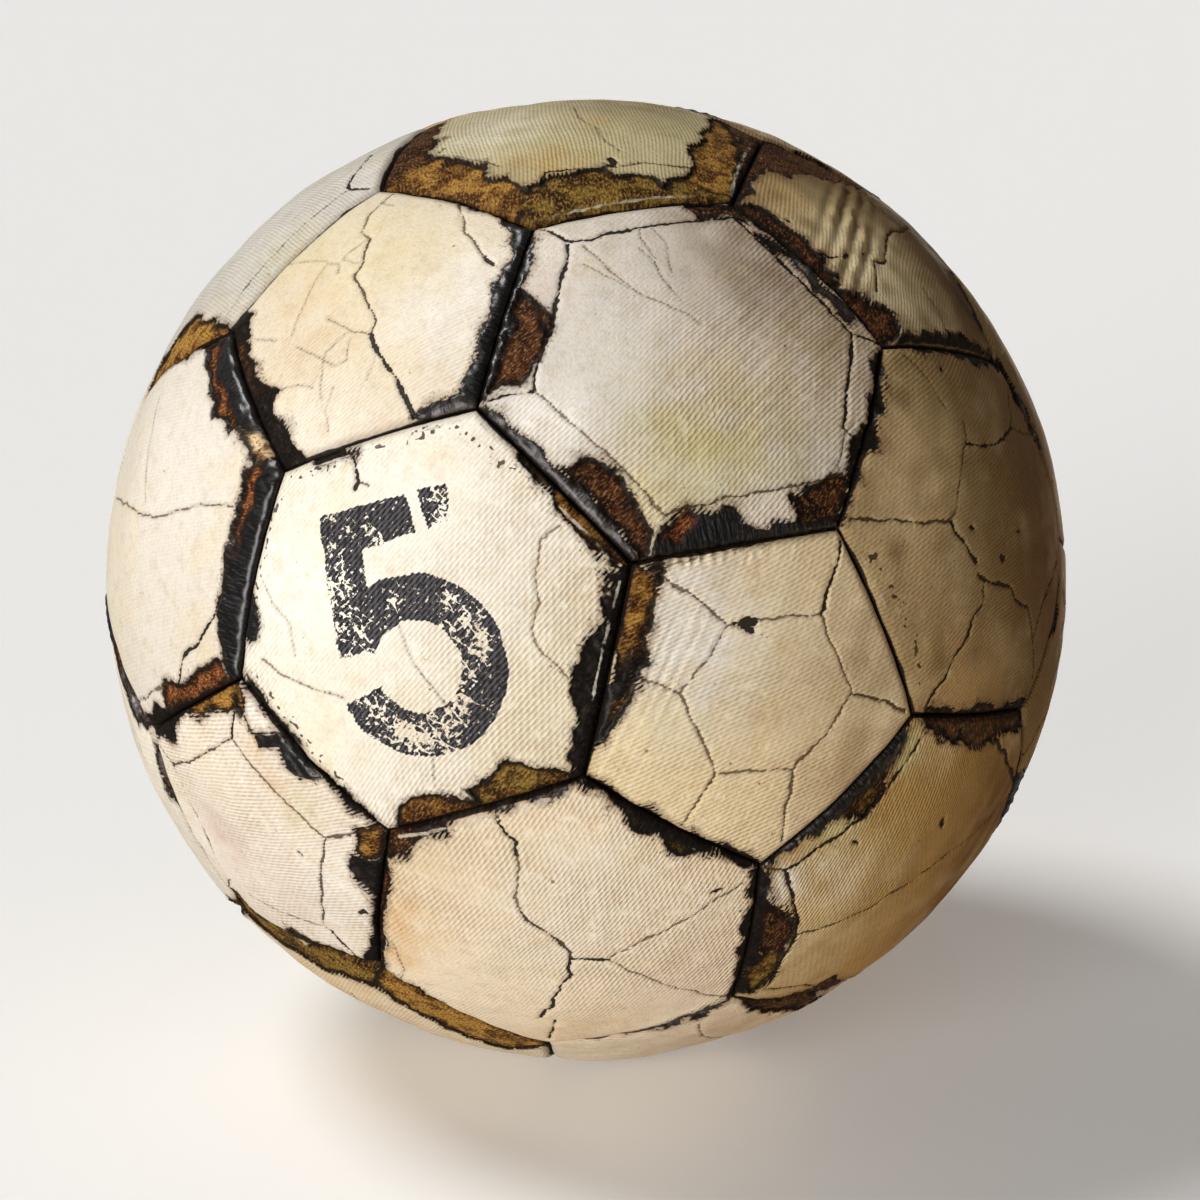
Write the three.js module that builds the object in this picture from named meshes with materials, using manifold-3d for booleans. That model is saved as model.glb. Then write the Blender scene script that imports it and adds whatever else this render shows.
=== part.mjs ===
// An old size 5 football: twenty hexagon and twelve pentagon panels with turned-in seam edges,
// sewn together round a rubber bladder with a push-in valve.
// Millimetres, +Z up, origin at the centre of the ball.
import * as THREE from 'three';
import { mergeVertices } from 'three/addons/utils/BufferGeometryUtils.js';
import Module from 'manifold-3d';

const wasm = await Module();
wasm.setup();

// Driving dimensions.
const ballRadius = 110; // 69 cm round
const panelThickness = 3; // coated hide with its cloth backing
const seamGap = 1.6; // open groove between two neighbouring panels
const rollWidth = 3.2; // how far the surface curves down towards a seam
const rollDepth = 2; // how deep the groove's lips lie under the surface
const flangeDepth = 5; // seam allowance turned inwards under the panel
const flangeThickness = 2.2;
const threadRadius = 0.4; // waxed sewing thread
const bladderThickness = 0.9;
const clearance = 0.4; // between pieces that touch
const valveHoleRadius = 3.2;
const stemRadius = 2.7;
const needleRadius = 0.9;
const neckRadius = 7.5; // of the collar, where it passes through the bladder
const collarLip = 4; // how far the collar's two flanges reach past its neck
const collarThickness = 1.5;
const stemRecess = 0.8; // the valve's mouth lies a little under the surface
const stemDepth = 16;
const stemHeadRadius = 4.5;
const stemHeadThickness = 2.5;

// How the ball lies: where its numbered panel faces, and how that panel is turned.
const numberPanelAzimuth = -18.5; // degrees from -Y towards +X
const numberPanelElevation = 11.2;
const numberPanelRoll = -20.9; // clockwise, seen from outside

// The pattern is a truncated icosahedron's, whose corners all lie on the ball.
const seamLength = ballRadius / 2.478; // between two corners, in a straight line
const icosahedronEdge = 1.0515; // of the icosahedron with its corners one unit from the centre

// How finely the curved shapes are divided.
const stepsPerSide = 3;
const roundSteps = 20;
const smallRoundSteps = 16;
const threadSteps = 2;
const threadSides = 4;

// Levels below the surface.
const panelInside = ballRadius - panelThickness;
const flangeFoot = panelInside - flangeDepth;
const threadLevel = panelInside - flangeDepth / 2;
const bladderOuter = flangeFoot - 1.5 * clearance;
const bladderInner = bladderOuter - bladderThickness;

const leather = new THREE.MeshStandardMaterial({ color: 0xe6d9bf, roughness: 0.6, metalness: 0 });
const rubber = new THREE.MeshStandardMaterial({ color: 0x2a2320, roughness: 0.7, metalness: 0 });
const valveRubber = new THREE.MeshStandardMaterial({ color: 0x151515, roughness: 0.5, metalness: 0 });
const waxedThread = new THREE.MeshStandardMaterial({ color: 0x8a7a5e, roughness: 0.8, metalness: 0 });

function toSolid(geometry) {
  const bare = geometry.clone();
  bare.deleteAttribute('normal');
  bare.deleteAttribute('uv');
  const merged = mergeVertices(bare, 1e-3);
  return new wasm.Manifold(new wasm.Mesh({
    numProp: 3,
    vertProperties: new Float32Array(merged.attributes.position.array),
    triVerts: new Uint32Array(merged.index.array),
  }));
}

function toGeometry(solid) {
  const mesh = solid.getMesh();
  const geometry = new THREE.BufferGeometry();
  geometry.setAttribute('position', new THREE.BufferAttribute(mesh.vertProperties, 3));
  geometry.setIndex(new THREE.BufferAttribute(mesh.triVerts, 1));
  geometry.computeVertexNormals();
  return geometry;
}

// The twelve corners of the icosahedron that the ball's pattern comes from.
function icosahedronCorners() {
  const position = new THREE.IcosahedronGeometry(1, 0).getAttribute('position');
  const all = [];
  for (let i = 0; i < position.count; i += 1) {
    const corner = new THREE.Vector3().fromBufferAttribute(position, i).normalize();
    if (!all.some((other) => other.distanceTo(corner) < 0.1)) all.push(corner);
  }
  return all;
}

const areNeighbours = (a, b) => Math.abs(a.distanceTo(b) - icosahedronEdge) < 0.01;

function trianglesOf(points) {
  const found = [];
  points.forEach((a, i) => points.forEach((b, j) => points.forEach((c, k) => {
    const inOrder = i < j && j < k;
    if (inOrder && areNeighbours(a, b) && areNeighbours(b, c) && areNeighbours(a, c)) found.push([a, b, c]);
  })));
  return found;
}

const corners = icosahedronCorners();
const triangles = trianglesOf(corners);
const middleOf = (points) => points.reduce((sum, p) => sum.add(p), new THREE.Vector3()).normalize();

// A turn that takes +Z to an outward direction, with +Y towards a guide point.
function turnTowards(outward, guide) {
  const z = outward.clone().normalize();
  const y = guide.clone().addScaledVector(z, -guide.dot(z)).normalize();
  const x = new THREE.Vector3().crossVectors(y, z);
  return new THREE.Quaternion().setFromRotationMatrix(new THREE.Matrix4().makeBasis(x, y, z));
}

// One face looks along +Z, with one of its corners towards +Y.
const upright = turnTowards(middleOf(triangles[0]), triangles[0][0]).invert();
corners.forEach((corner) => corner.applyQuaternion(upright));

// A side of a panel lies in a plane through the ball's centre. This is that plane's angle from the
// panel's axis, from the flat polygon that the panel's corners span.
function sideAngle(sides) {
  const inRadius = seamLength / 2 / Math.tan(Math.PI / sides);
  const outRadius = seamLength / 2 / Math.sin(Math.PI / sides);
  return Math.atan(inRadius / Math.sqrt(ballRadius ** 2 - outRadius ** 2));
}

// One panel, its centre on +Z and the middle of one side towards +Y. It is turned on a lathe as
// (angle from the axis, distance from the ball's centre), then bent round the ball and squared
// out to its polygon.
function panelGeometry(sides) {
  const wall = sideAngle(sides) - Math.asin(seamGap / 2 / ballRadius);
  const crown = wall - rollWidth / ballRadius;
  const flangeInside = wall - flangeThickness / ballRadius;
  const profile = [
    [0, panelInside],
    [flangeInside / 2, panelInside],
    [flangeInside, panelInside],
    [flangeInside, flangeFoot],
    [wall, flangeFoot],
    [wall, ballRadius - rollDepth],
    [crown, ballRadius],
    [crown / 2, ballRadius],
    [0, ballRadius],
  ].map(([angle, radius]) => new THREE.Vector2(angle, radius));
  const halfSide = Math.PI / sides;
  const geometry = new THREE.LatheGeometry(profile, sides * stepsPerSide, halfSide);
  const position = geometry.getAttribute('position');
  for (let i = 0; i < position.count; i += 1) {
    const angle = Math.hypot(position.getX(i), position.getZ(i));
    const around = Math.atan2(position.getX(i), position.getZ(i));
    const offMiddle = THREE.MathUtils.euclideanModulo(around + halfSide, 2 * halfSide) - halfSide;
    const reach = Math.tan(angle) / Math.cos(offMiddle);
    const point = new THREE.Vector3(-reach * Math.sin(around), reach * Math.cos(around), 1);
    point.setLength(position.getY(i));
    position.setXYZ(i, point.x, point.y, point.z);
  }
  geometry.computeVertexNormals();
  return geometry;
}

// The valve's panel has a round hole at its centre.
function withValveHole(geometry) {
  const drill = new THREE.CylinderGeometry(
    valveHoleRadius,
    valveHoleRadius,
    4 * panelThickness,
    smallRoundSteps,
  );
  drill.rotateX(Math.PI / 2);
  drill.translate(0, 0, ballRadius);
  return toGeometry(toSolid(geometry).subtract(toSolid(drill)));
}

function addPiece(parent, name, geometry, material, turn) {
  const piece = new THREE.Mesh(geometry, material);
  piece.name = name;
  if (turn) piece.quaternion.copy(turn);
  parent.add(piece);
}

// Panels count round the ball in rings, starting at the numbered one on +Z, clockwise from just
// before +Y.
function inRings(outward) {
  const justBefore = 0.01;
  const ring = Math.round(Math.acos(THREE.MathUtils.clamp(outward.z, -1, 1)) * 100);
  const around = Math.atan2(outward.x, outward.y) + justBefore;
  return ring * 100 + THREE.MathUtils.euclideanModulo(around, 2 * Math.PI);
}

function addPanels(parent) {
  const hexagon = panelGeometry(6);
  const pentagon = panelGeometry(5);
  const byRing = (a, b) => inRings(a.outward) - inRings(b.outward);
  const twoDigits = (n) => String(n).padStart(2, '0');
  const hexagons = triangles
    .map((triangle) => ({ outward: middleOf(triangle), guide: triangle[0] }))
    .sort(byRing);
  hexagons.forEach(({ outward, guide }, i) => {
    const last = hexagons.length - 1;
    const name = { 0: 'number_panel', [last]: 'valve_panel' }[i] ?? `hexagon_panel_${twoDigits(i)}`;
    const geometry = i === last ? withValveHole(hexagon) : hexagon;
    addPiece(parent, name, geometry, leather, turnTowards(outward, guide));
  });
  corners
    .map((outward) => ({ outward, guide: middleOf(triangles.find((t) => t.includes(outward))) }))
    .sort(byRing)
    .forEach(({ outward, guide }, i) => {
      addPiece(parent, `pentagon_panel_${twoDigits(i + 1)}`, pentagon, leather, turnTowards(outward, guide));
    });
}

// The sixty points where three panels meet: a third of the way along each edge of the icosahedron,
// from either end.
function seamCorners() {
  const found = [];
  corners.forEach((a) => corners.forEach((b) => {
    if (areNeighbours(a, b)) found.push(a.clone().lerp(b, 1 / 3).setLength(threadLevel));
  }));
  return found;
}

class SeamArc extends THREE.Curve {
  constructor(start, end) {
    super();
    this.start = start;
    this.end = end;
  }

  getPoint(t, target = new THREE.Vector3()) {
    return target.copy(this.start).lerp(this.end, t).setLength(this.start.length());
  }
}

// The thread that joins the turned-in edges, all round every panel.
function threadGeometry() {
  const meetings = seamCorners();
  const section = new THREE.Shape();
  for (let i = 0; i < threadSides; i += 1) {
    const turn = (2 * Math.PI * i) / threadSides;
    section[i ? 'lineTo' : 'moveTo'](threadRadius * Math.cos(turn), threadRadius * Math.sin(turn));
  }
  const seams = [];
  meetings.forEach((a, i) => meetings.slice(i + 1).forEach((b) => {
    if (a.distanceTo(b) < 1.1 * seamLength) {
      const extrudePath = new SeamArc(a, b);
      seams.push(new THREE.ExtrudeGeometry(section, { steps: threadSteps, extrudePath, curveSegments: 1 }));
    }
  }));
  return toGeometry(seams.map(toSolid).reduce((all, next) => all.add(next)));
}

// The next three are turned about +Y, towards the valve, which is opposite the numbered panel.
function bladderGeometry() {
  const holeAngle = Math.asin((neckRadius + clearance) / bladderInner);
  const steps = (2 * roundSteps) / 3;
  const profile = [];
  for (let i = 0; i <= steps; i += 1) {
    const fromBottom = ((Math.PI - holeAngle) * i) / steps;
    profile.push(new THREE.Vector2(Math.sin(fromBottom), -Math.cos(fromBottom)));
  }
  const outside = profile.map((p) => p.clone().multiplyScalar(bladderOuter));
  const inside = profile.map((p) => p.clone().multiplyScalar(bladderInner)).reverse();
  return new THREE.LatheGeometry([...outside, ...inside], roundSteps);
}

function collarGeometry() {
  const over = bladderOuter + clearance;
  const under = bladderInner - 4 * clearance;
  const bore = stemRadius + clearance;
  const lip = neckRadius + collarLip;
  const profile = [
    [bore, under - collarThickness],
    [lip, under - collarThickness],
    [lip, under],
    [neckRadius, under],
    [neckRadius, over],
    [lip, over],
    [lip, over + collarThickness],
    [bore, over + collarThickness],
    [bore, under - collarThickness],
  ].map(([radius, height]) => new THREE.Vector2(radius, height));
  return new THREE.LatheGeometry(profile, smallRoundSteps);
}

function stemGeometry() {
  const mouth = ballRadius - stemRecess;
  const foot = mouth - stemDepth;
  const profile = [
    [0, foot],
    [stemHeadRadius, foot],
    [stemHeadRadius, foot + stemHeadThickness],
    [stemRadius, foot + stemHeadThickness],
    [stemRadius, mouth],
    [needleRadius, mouth],
    [needleRadius, foot + stemHeadThickness],
    [0, foot + stemHeadThickness],
  ].map(([radius, height]) => new THREE.Vector2(radius, height));
  return new THREE.LatheGeometry(profile, smallRoundSteps);
}

// The numbered panel starts on +Z with its top side on +Y, then rolls, tilts and turns into place.
const ball = new THREE.Group();
const turned = new THREE.Group();
const tilted = new THREE.Group();
const rolled = new THREE.Group();
turned.rotation.z = THREE.MathUtils.degToRad(numberPanelAzimuth);
tilted.rotation.x = THREE.MathUtils.degToRad(90 - numberPanelElevation);
rolled.rotation.z = THREE.MathUtils.degToRad(-numberPanelRoll);
ball.add(turned);
turned.add(tilted);
tilted.add(rolled);

const towardsValve = new THREE.Quaternion().setFromAxisAngle(new THREE.Vector3(1, 0, 0), -Math.PI / 2);
addPanels(rolled);
addPiece(rolled, 'stitching_thread', threadGeometry(), waxedThread);
addPiece(rolled, 'bladder', bladderGeometry(), rubber, towardsValve);
addPiece(rolled, 'valve_collar', collarGeometry(), valveRubber, towardsValve);
addPiece(rolled, 'valve_stem', stemGeometry(), valveRubber, towardsValve);

export default ball;
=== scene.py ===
import math

import bmesh
import bpy
import numpy as np
from mathutils import Matrix, Vector


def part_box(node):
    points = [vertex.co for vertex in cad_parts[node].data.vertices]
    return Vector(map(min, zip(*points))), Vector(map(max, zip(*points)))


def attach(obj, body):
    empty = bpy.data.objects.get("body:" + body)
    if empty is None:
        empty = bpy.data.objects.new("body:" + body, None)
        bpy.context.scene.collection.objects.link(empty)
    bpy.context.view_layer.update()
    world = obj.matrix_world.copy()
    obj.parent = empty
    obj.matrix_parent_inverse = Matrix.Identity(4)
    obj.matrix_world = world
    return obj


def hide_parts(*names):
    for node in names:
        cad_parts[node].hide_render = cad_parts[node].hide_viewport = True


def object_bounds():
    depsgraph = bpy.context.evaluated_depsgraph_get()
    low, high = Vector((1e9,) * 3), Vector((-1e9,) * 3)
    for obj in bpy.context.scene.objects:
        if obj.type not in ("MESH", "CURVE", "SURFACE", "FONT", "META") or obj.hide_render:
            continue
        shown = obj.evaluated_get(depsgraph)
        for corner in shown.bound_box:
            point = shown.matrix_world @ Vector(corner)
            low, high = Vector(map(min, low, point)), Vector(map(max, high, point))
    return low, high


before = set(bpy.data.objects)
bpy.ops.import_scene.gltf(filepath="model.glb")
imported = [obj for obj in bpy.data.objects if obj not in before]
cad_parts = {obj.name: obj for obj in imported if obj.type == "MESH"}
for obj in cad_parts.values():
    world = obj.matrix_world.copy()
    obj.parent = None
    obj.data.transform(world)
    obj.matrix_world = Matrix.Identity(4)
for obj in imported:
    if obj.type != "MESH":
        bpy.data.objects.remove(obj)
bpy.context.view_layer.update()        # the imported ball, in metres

# The ball, in millimetres and degrees. It has the CAD's sizes, but for closer seams and a tighter roll.
ball = {
    "radius": 110.0,
    "seamGap": 0.45,
    "rollWidth": 2.1,       # how far the leather curves down towards a seam
    "rollDepth": 1.15,
    "inside": 107.0,
    "flangeFoot": 102.0,
    "flangeThickness": 2.2,
    "threadRoom": 0.35,     # how far the turned-in leather draws back from the seam
    "valveHole": 3.2,
    "azimuth": -18.5,       # where the numbered panel faces
    "elevation": 11.2,
    "roll": -20.9,
    "cuts": 49,             # grid lines in each wedge of a panel
    "fineCuts": 2,          # and again beside cracks, peeled edges and paint
    "fineReach": 0.75,
}
mm = 0.001
nearlyUp = 0.93

# What lies under the coat where it has peeled: colour, gloss, how high it stands, in millimetres.
layers = {
    "tar": ((0.006, 0.006, 0.008), 1.0, 0.18),
    "char": ((0.009, 0.006, 0.004), 0.2, -0.35),
    "bark": ((0.095, 0.034, 0.012), 0.1, -0.5),
    "rust": ((0.20, 0.060, 0.018), 0.1, -0.45),
    "gold": ((0.42, 0.225, 0.045), 0.05, -0.5),
    "olive": ((0.23, 0.145, 0.026), 0.05, -0.5),
    "straw": ((0.80, 0.62, 0.38), 0.1, -0.3),
    # Slate's grey is partly a painted sheen on black glossy rolls.
    "slateAndSheen": ((0.15, 0.145, 0.165), 0.75, -0.1),
    "chalk": ((0.74, 0.71, 0.66), 0.3, -0.2),
}

# Colours of coats and of the tints on them. The dark browns (khaki, drab, sage, umber, russet) stand partly
# for painted shade on panels and sides turned from the light, and the near-black last one wholly. White, on
# the lit upper left of some panels, is painted light.
coats = {
    "bone": (0.90, 0.86, 0.76),
    "ivory": (0.80, 0.75, 0.67),
    "pearl": (0.74, 0.69, 0.61),
    "cream": (0.79, 0.70, 0.56),
    "butter": (0.82, 0.72, 0.47),
    "peach": (0.87, 0.74, 0.56),
    "blush": (0.88, 0.80, 0.70),
    "buff": (0.92, 0.77, 0.50),
    "tan": (0.70, 0.54, 0.30),
    "khaki": (0.27, 0.185, 0.072),
    "drab": (0.20, 0.125, 0.042),
    "sage": (0.52, 0.34, 0.12),
    "lilac": (0.77, 0.71, 0.63),
    "mist": (0.62, 0.60, 0.55),
    "moss": (0.57, 0.50, 0.30),
    "lime": (0.62, 0.58, 0.30),
    "white": (0.93, 0.90, 0.84),
    "ochre": (0.66, 0.43, 0.15),
    "amber": (0.74, 0.42, 0.13),
    "umber": (0.24, 0.15, 0.07),
    "russet": (0.17, 0.070, 0.014),
    "limbShade": (0.065, 0.034, 0.013),
    "rose": (0.70, 0.52, 0.44),
}

# Wear on each panel, in millimetres from its centre, x to the right and y up, seen from outside.
# A crack is (width, points), a peeled patch (layer, points), a tint (colour, x, y, radius, share), which is a
# stain, and on some panels painted light and shade.
# Ribs are (angle, strength, smooth spots), and a wrinkle is (x, y, angle, length, width, pitch, height).
# Lips are pale worn edges (half width, points), and dots are rows of small burns (points).
wear = {
    "number_panel": {
        "coat": "bone",
        "ribs": (53, 0.9, [(-22, 8, 22), (-20, -22, 16), (0, 30, 16)]),
        "cracks": [
            (0.7, [(-17.5, 32), (-15.5, 27.5), (-16, 26)]),
            (0.4, [(-15.5, 27.5), (-13, 27)]),
            (0.3, [(27, 22), (24, 19.5), (23.5, 13), (25, 7), (23.5, 2), (26, -2.5), (30, -6), (32, -9)]),
            (0.15, [(-4.5, 3), (-3, -2), (0.5, -8)]),
            (0.3, [(0.5, -8), (4, -11.5), (8, -16)]),
            (0.3, [(-35, -11), (-30, -14), (-21, -15.5), (-15, -16.5)]),
            (0.1, [(-36, 5), (-33, 1), (-28, -3), (-27, -9)]),
            (0.12, [(4, -24), (4.6, -31)]),
        ],
        "peels": [
            ("gold", [(11, 42), (17, 36), (21, 31.5), (27, 25), (34, 19), (41, 13), (44, 15), (20, 40)]),
            ("char", [(36, 15), (38, 9), (36, 2), (33, -4), (32, -9), (33.5, -14), (32, -22), (32, -28),
                      (37, -29), (40, -5), (43, 14)]),
            ("bark", [(39, 12), (38, 2), (37, -8), (35.5, -18), (34, -26), (38, -28), (44, 10)]),
            ("olive", [(35, -28), (28, -27.5), (22, -25), (16, -28), (11, -34), (16, -38), (36, -31)]),
            ("gold", [(10.5, -35.5), (1, -35), (-3, -38), (-5.5, -43), (14, -42), (16, -36)]),
            ("char", [(-40.5, -14), (-37, -17.5), (-29, -24), (-21, -32), (-9, -42), (-10, -46), (-44, -18)]),
            ("bark", [(-27, 32), (-19, 34), (-16, 34), (-17, 33), (-25, 30)]),
            ("tar", [(-41, 4), (-38.2, 1), (-36.8, -3), (-37, -7), (-39, -8), (-43, -6)]),
        ],
        "tints": [("white", -20, 8, 24, 0.5), ("tan", 30, -34, 14, 0.35), ("butter", 26, -14, 16, 0.4),
                   ("butter", -24, -24, 14, 0.3), ("tan", 34, 12, 10, 0.3)],
        "lips": [(0.25, [(8.6, 40.8), (24, 28.2), (39.4, 15.2)]), (0.25, [(39.6, 12), (37.4, -2),
                 (35.6, -14)]), (0.25, [(-29.4, 28.3), (-13.2, 34.5), (4.3, 41.2)])],
        "dots": [[(-32, 26.4), (-27, 28.4), (-21, 30.8)], [(-14, 34), (-8, 36.2), (-1, 38.6), (4, 40)],
                 [(6, 39), (11, 36), (16, 32.4)], [(-33.6, 24.6), (-35.4, 17), (-37, 8), (-38, -1)],
                 [(-37, -15), (-30, -21), (-22, -28), (-14, -35)]],
    },
    "hexagon_panel_01": {
        "coat": "lilac",
        "ribs": (39, 1.0, [(-22, 20, 26), (-24, 0, 14), (2, 26, 14)]),
        "cracks": [
            (0.6, [(-24, 35), (-21, 32.5), (-19, 30.5), (-10, 32), (0, 33.5), (10, 34.5), (17, 35)]),
            (0.6, [(-20, 30), (-22, 24), (-26.5, 13), (-28, 10), (-31, 3), (-33, -3), (-42, -3)]),
            (0.35, [(-33, -3), (-28, -10), (-23, -16), (-17, -24), (-11, -32)]),
            (0.45, [(-11, -32), (0, -30.5), (10, -29), (18, -28), (25, -26.5), (31, -25)]),
            (0.6, [(17, 35), (20, 30), (25, 22), (30, 15), (37, 6), (43, 5)]),
            (0.6, [(37, 6), (34, -3), (31, -12), (29.5, -16), (32, -18.5)]),
            (0.4, [(23, 27), (28, 24), (30, 18), (30.5, 15)]),
            (0.2, [(-17, 29), (-13, 22), (-8, 15), (0, 10), (3, 7)]),
            (0.2, [(-18, 24), (-12, 19), (-10, 17)]),
            (0.22, [(-6, 27), (-4, 24), (-2.5, 18), (0, 12.5)]),
            (0.2, [(-4, 33), (-5, 30), (-3, 24)]),
            (0.15, [(-2, 33), (0, 28), (-0.5, 20)]),
            (0.25, [(33, -14), (30, -17), (27, -24)]),
        ],
        "peels": [
            ("tar", [(-24, 37), (-27, 33), (-28.5, 27), (-32, 20), (-36, 11), (-41, -1), (-46, -4),
                     (-27, 41)]),
            ("bark", [(-32, 20.5), (-30, 17), (-27.5, 13.5), (-28.5, 9), (-31, 4), (-33, 0), (-41, -1),
                      (-36, 11)]),
            ("slateAndSheen", [(-43.5, -4), (-40.5, -6), (-37, -12), (-31, -19.5), (-27, -25), (-21, -33), (-17, -39),
                       (-19, -43), (-46, -6)]),
            ("bark", [(-31, -19.5), (-23, -19), (-20, -22), (-18, -28), (-14, -36), (-16, -39), (-27, -25)]),
            ("rust", [(-13, -38), (-10, -32.5), (-6, -31.8), (-3, -34), (-8, -39)]),
            ("tar", [(-13, -38.5), (-8, -34), (-3, -31.8), (1, -32), (3, -34), (5, -36.3), (26, -34.8),
                     (27, -38), (-18, -42)]),
            ("bark", [(15, -30), (21, -28), (30, -25), (28.5, -31), (26, -35), (17, -36.5)]),
            ("bark", [(6.5, 38), (9, 35.2), (17, 35), (19, 33.5), (20, 40), (8, 41)]),
            ("char", [(31.5, -18), (34, -16.5), (38, -8), (42, 3), (46, 4), (30, -30), (29, -24)]),
            ("olive", [(18.5, 37), (22, 33), (27, 27.5), (31, 23), (36, 17), (44, 6), (46, 8), (24, 42)]),
            ("char", [(20, 31), (23, 30), (29, 25.5), (27, 24), (23, 25)]),
            ("slateAndSheen", [(25, 25.5), (30, 24), (34, 17), (38, 12), (37, 8), (31, 15.5)]),
        ],
        # The umber patches towards the upper right darken it with painted shade as well as brown staining.
        "tints": [("mist", -20, -2, 22, 0.6), ("white", -14, 4, 10, 0.3), ("cream", 16, -10, 24, 0.6),
                   ("lime", -4, -23, 14, 0.8),
                   ("butter", -14, -27, 8, 0.6), ("lime", 10, -20, 12, 0.5), ("tan", 4, -10, 14, 0.3),
                   ("umber", 24, 18, 17, 0.5), ("umber", 14, 26, 12, 0.3), ("tan", 29, 0, 12, 0.4),
                   ("mist", 26, -23, 7, 0.5), ("white", -31, -11, 9, 1.0), ("butter", -15, -31, 4, 0.8),
                   ("blush", 10, -33.5, 7, 0.9), ("umber", 36, 6, 9, 0.4), ("rose", -28, 22, 7, 0.25),
                   ("umber", 6, 37, 7, 0.35), ("blush", -23, 31, 5, 0.5), ("umber", 20, 26, 12, 0.4)],
        "wrinkles": [(15, 0, 42, 56, 30, 2.7, 0.07)],
    },
    "pentagon_panel_01": {
        "coat": "cream",
        "ribs": (50, 0.4, [(8, 14, 22), (-20, 10, 20)]),
        "cracks": [
            (0.35, [(-13, 31), (-14.5, 24), (-12.5, 18.5), (-9.5, 17)]),
            (0.5, [(-9.5, 17), (-7, 11), (-6.5, 7), (-3, 3.5), (1.5, 0), (5, -3), (5.2, -6)]),
            (0.9, [(5.2, -6), (8, -9), (14, -13), (19, -17), (23, -21.5)]),
            (0.45, [(6.5, 29.5), (13, 22.5), (20, 18)]),
            (0.9, [(20, 18), (22.5, 16.5)]),
            (0.14, [(-10, 17), (-12.5, 11), (-6.5, 9.5)]),
            (0.16, [(-12, 7), (-13, 9.5), (-16, 9.5), (-17, 5), (-16, 0), (-15, -9)]),
            (0.1, [(-17, 10), (-30, 9.5)]),
            (0.2, [(5.5, -6), (0, -6.5), (-7, -4.5)]),
            (0.14, [(0, -6), (-3.5, -12), (-3, -15), (0, -22)]),
            (0.15, [(-12, -12), (-4, -13.5), (0, -14.5), (2, -12.5), (1, -8)]),
            (0.12, [(-28, -10.5), (-24, -11), (-19, -10.5)]),
            (0.14, [(-12, -22), (-7, -20), (-3, -20)]),
            (0.1, [(2, -19), (2, -24), (5, -28)]),
            (0.1, [(9, -9), (9, -16)]),
            (0.16, [(-14, 28), (-10, 27)]),
        ],
        "peels": [
            ("tar", [(18, 28), (22, 24), (26, 20), (25.5, 15), (27.5, 8), (29, 0), (31, -8), (29.5, -12),
                     (32, -16), (38, -16), (28, 30)]),
            ("slateAndSheen", [(30, -14), (26.5, -16), (25, -18), (23, -22), (28, -21), (35, -16), (33, -13)]),
            ("char", [(-36, -4), (-31, -4.5), (-28, -10), (-30, -12), (-24, -15.5), (-19, -19), (-12, -23),
                      (-11, -27), (-5, -30), (1, -35), (-4, -40), (-40, -12)]),
            ("bark", [(-35, -6), (-32, -7), (-30, -11), (-22, -17), (-15, -23), (-12, -28), (-3, -33),
                      (-6, -37), (-34, -13)]),
            ("char", [(0, 31.6), (6, 30.4), (14, 29), (20, 27.6), (26, 26.5), (26, 30), (0, 34)]),
        ],
        "tints": [("white", 20, 6, 15, 0.7), ("butter", -6, 12, 18, 0.6), ("ochre", -20, 4, 9, 0.25),
                   ("ochre", -4, -8, 10, 0.22), ("ochre", 4, 14, 8, 0.2), ("lime", -29, 14, 7, 0.4),
                   ("ochre", -10, -18, 8, 0.18), ("bone", 2, -28, 12, 0.6)],
    },
    "pentagon_panel_02": {
        "coat": "buff",
        "ribs": (22, 0.75, []),
        "cracks": [
            (0.4, [(-6, 16), (4, 16.2), (14, 15.8)]),
            (0.35, [(14, 15.8), (15.5, 11), (18.5, 5), (21, -1.5)]),
            (0.45, [(21, -1.5), (14, -10), (9, -14), (8, -15.8)]),
            (0.4, [(8, -15.8), (2, -15.2), (-9, -14.7)]),
            (0.4, [(-9, -14.7), (-12, -7), (-16.5, 3)]),
            (0.4, [(-16.5, 3), (-10, 10), (-6, 16)]),
            (0.4, [(-6, 16), (-12, 21), (-19, 26.5)]),
            (0.6, [(14, 15.8), (17, 22), (20, 29)]),
            (0.5, [(21, -1.5), (28, -4), (34, -7.5)]),
            (0.45, [(8, -15.8), (7, -22), (6.5, -32)]),
            (0.5, [(-9, -14.7), (-15, -25.5)]),
            (0.35, [(-16.5, 3), (-20, 5), (-24, 6)]),
            (0.2, [(-24, 26), (-10, 30), (4, 31)]),
            (1.4, [(-5, 16.2), (-2.5, 15.8), (-0.5, 16)]),
            (0.9, [(-2.8, 16), (-1.8, 14.4)]),
        ],
        "peels": [
            ("gold", [(-24, 30), (-20, 27), (-20.5, 23), (-22, 16), (-25, 9), (-28, 8), (-29, 12),
                      (-26, 30)]),
            ("char", [(-27, 15), (-24.5, 14.5), (-23, 9), (-25, 7), (-24, 5), (-27, 1), (-29, -3), (-33, -8),
                      (-36, -8), (-31, 4)]),
            ("gold", [(-28, 4), (-25.5, 5.5), (-27, 1), (-30, -2), (-32, -1)]),
            ("char", [(-20.5, 29.5), (-18.5, 29), (-19.5, 25), (-21.5, 24)]),
            ("bark", [(-34, -14), (-30, -17.4), (-20, -23.4), (-8, -31), (3, -35.8), (3, -40), (-38, -18)]),
        ],
        # The white patch at the upper left is painted light; the umber, tan and rose patches to the right and
        # lower right are painted shade over brown staining.
        "tints": [("butter", -20, -2, 14, 0.5), ("cream", -2, 2, 14, 0.3), ("umber", 28, 6, 13, 0.45),
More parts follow.
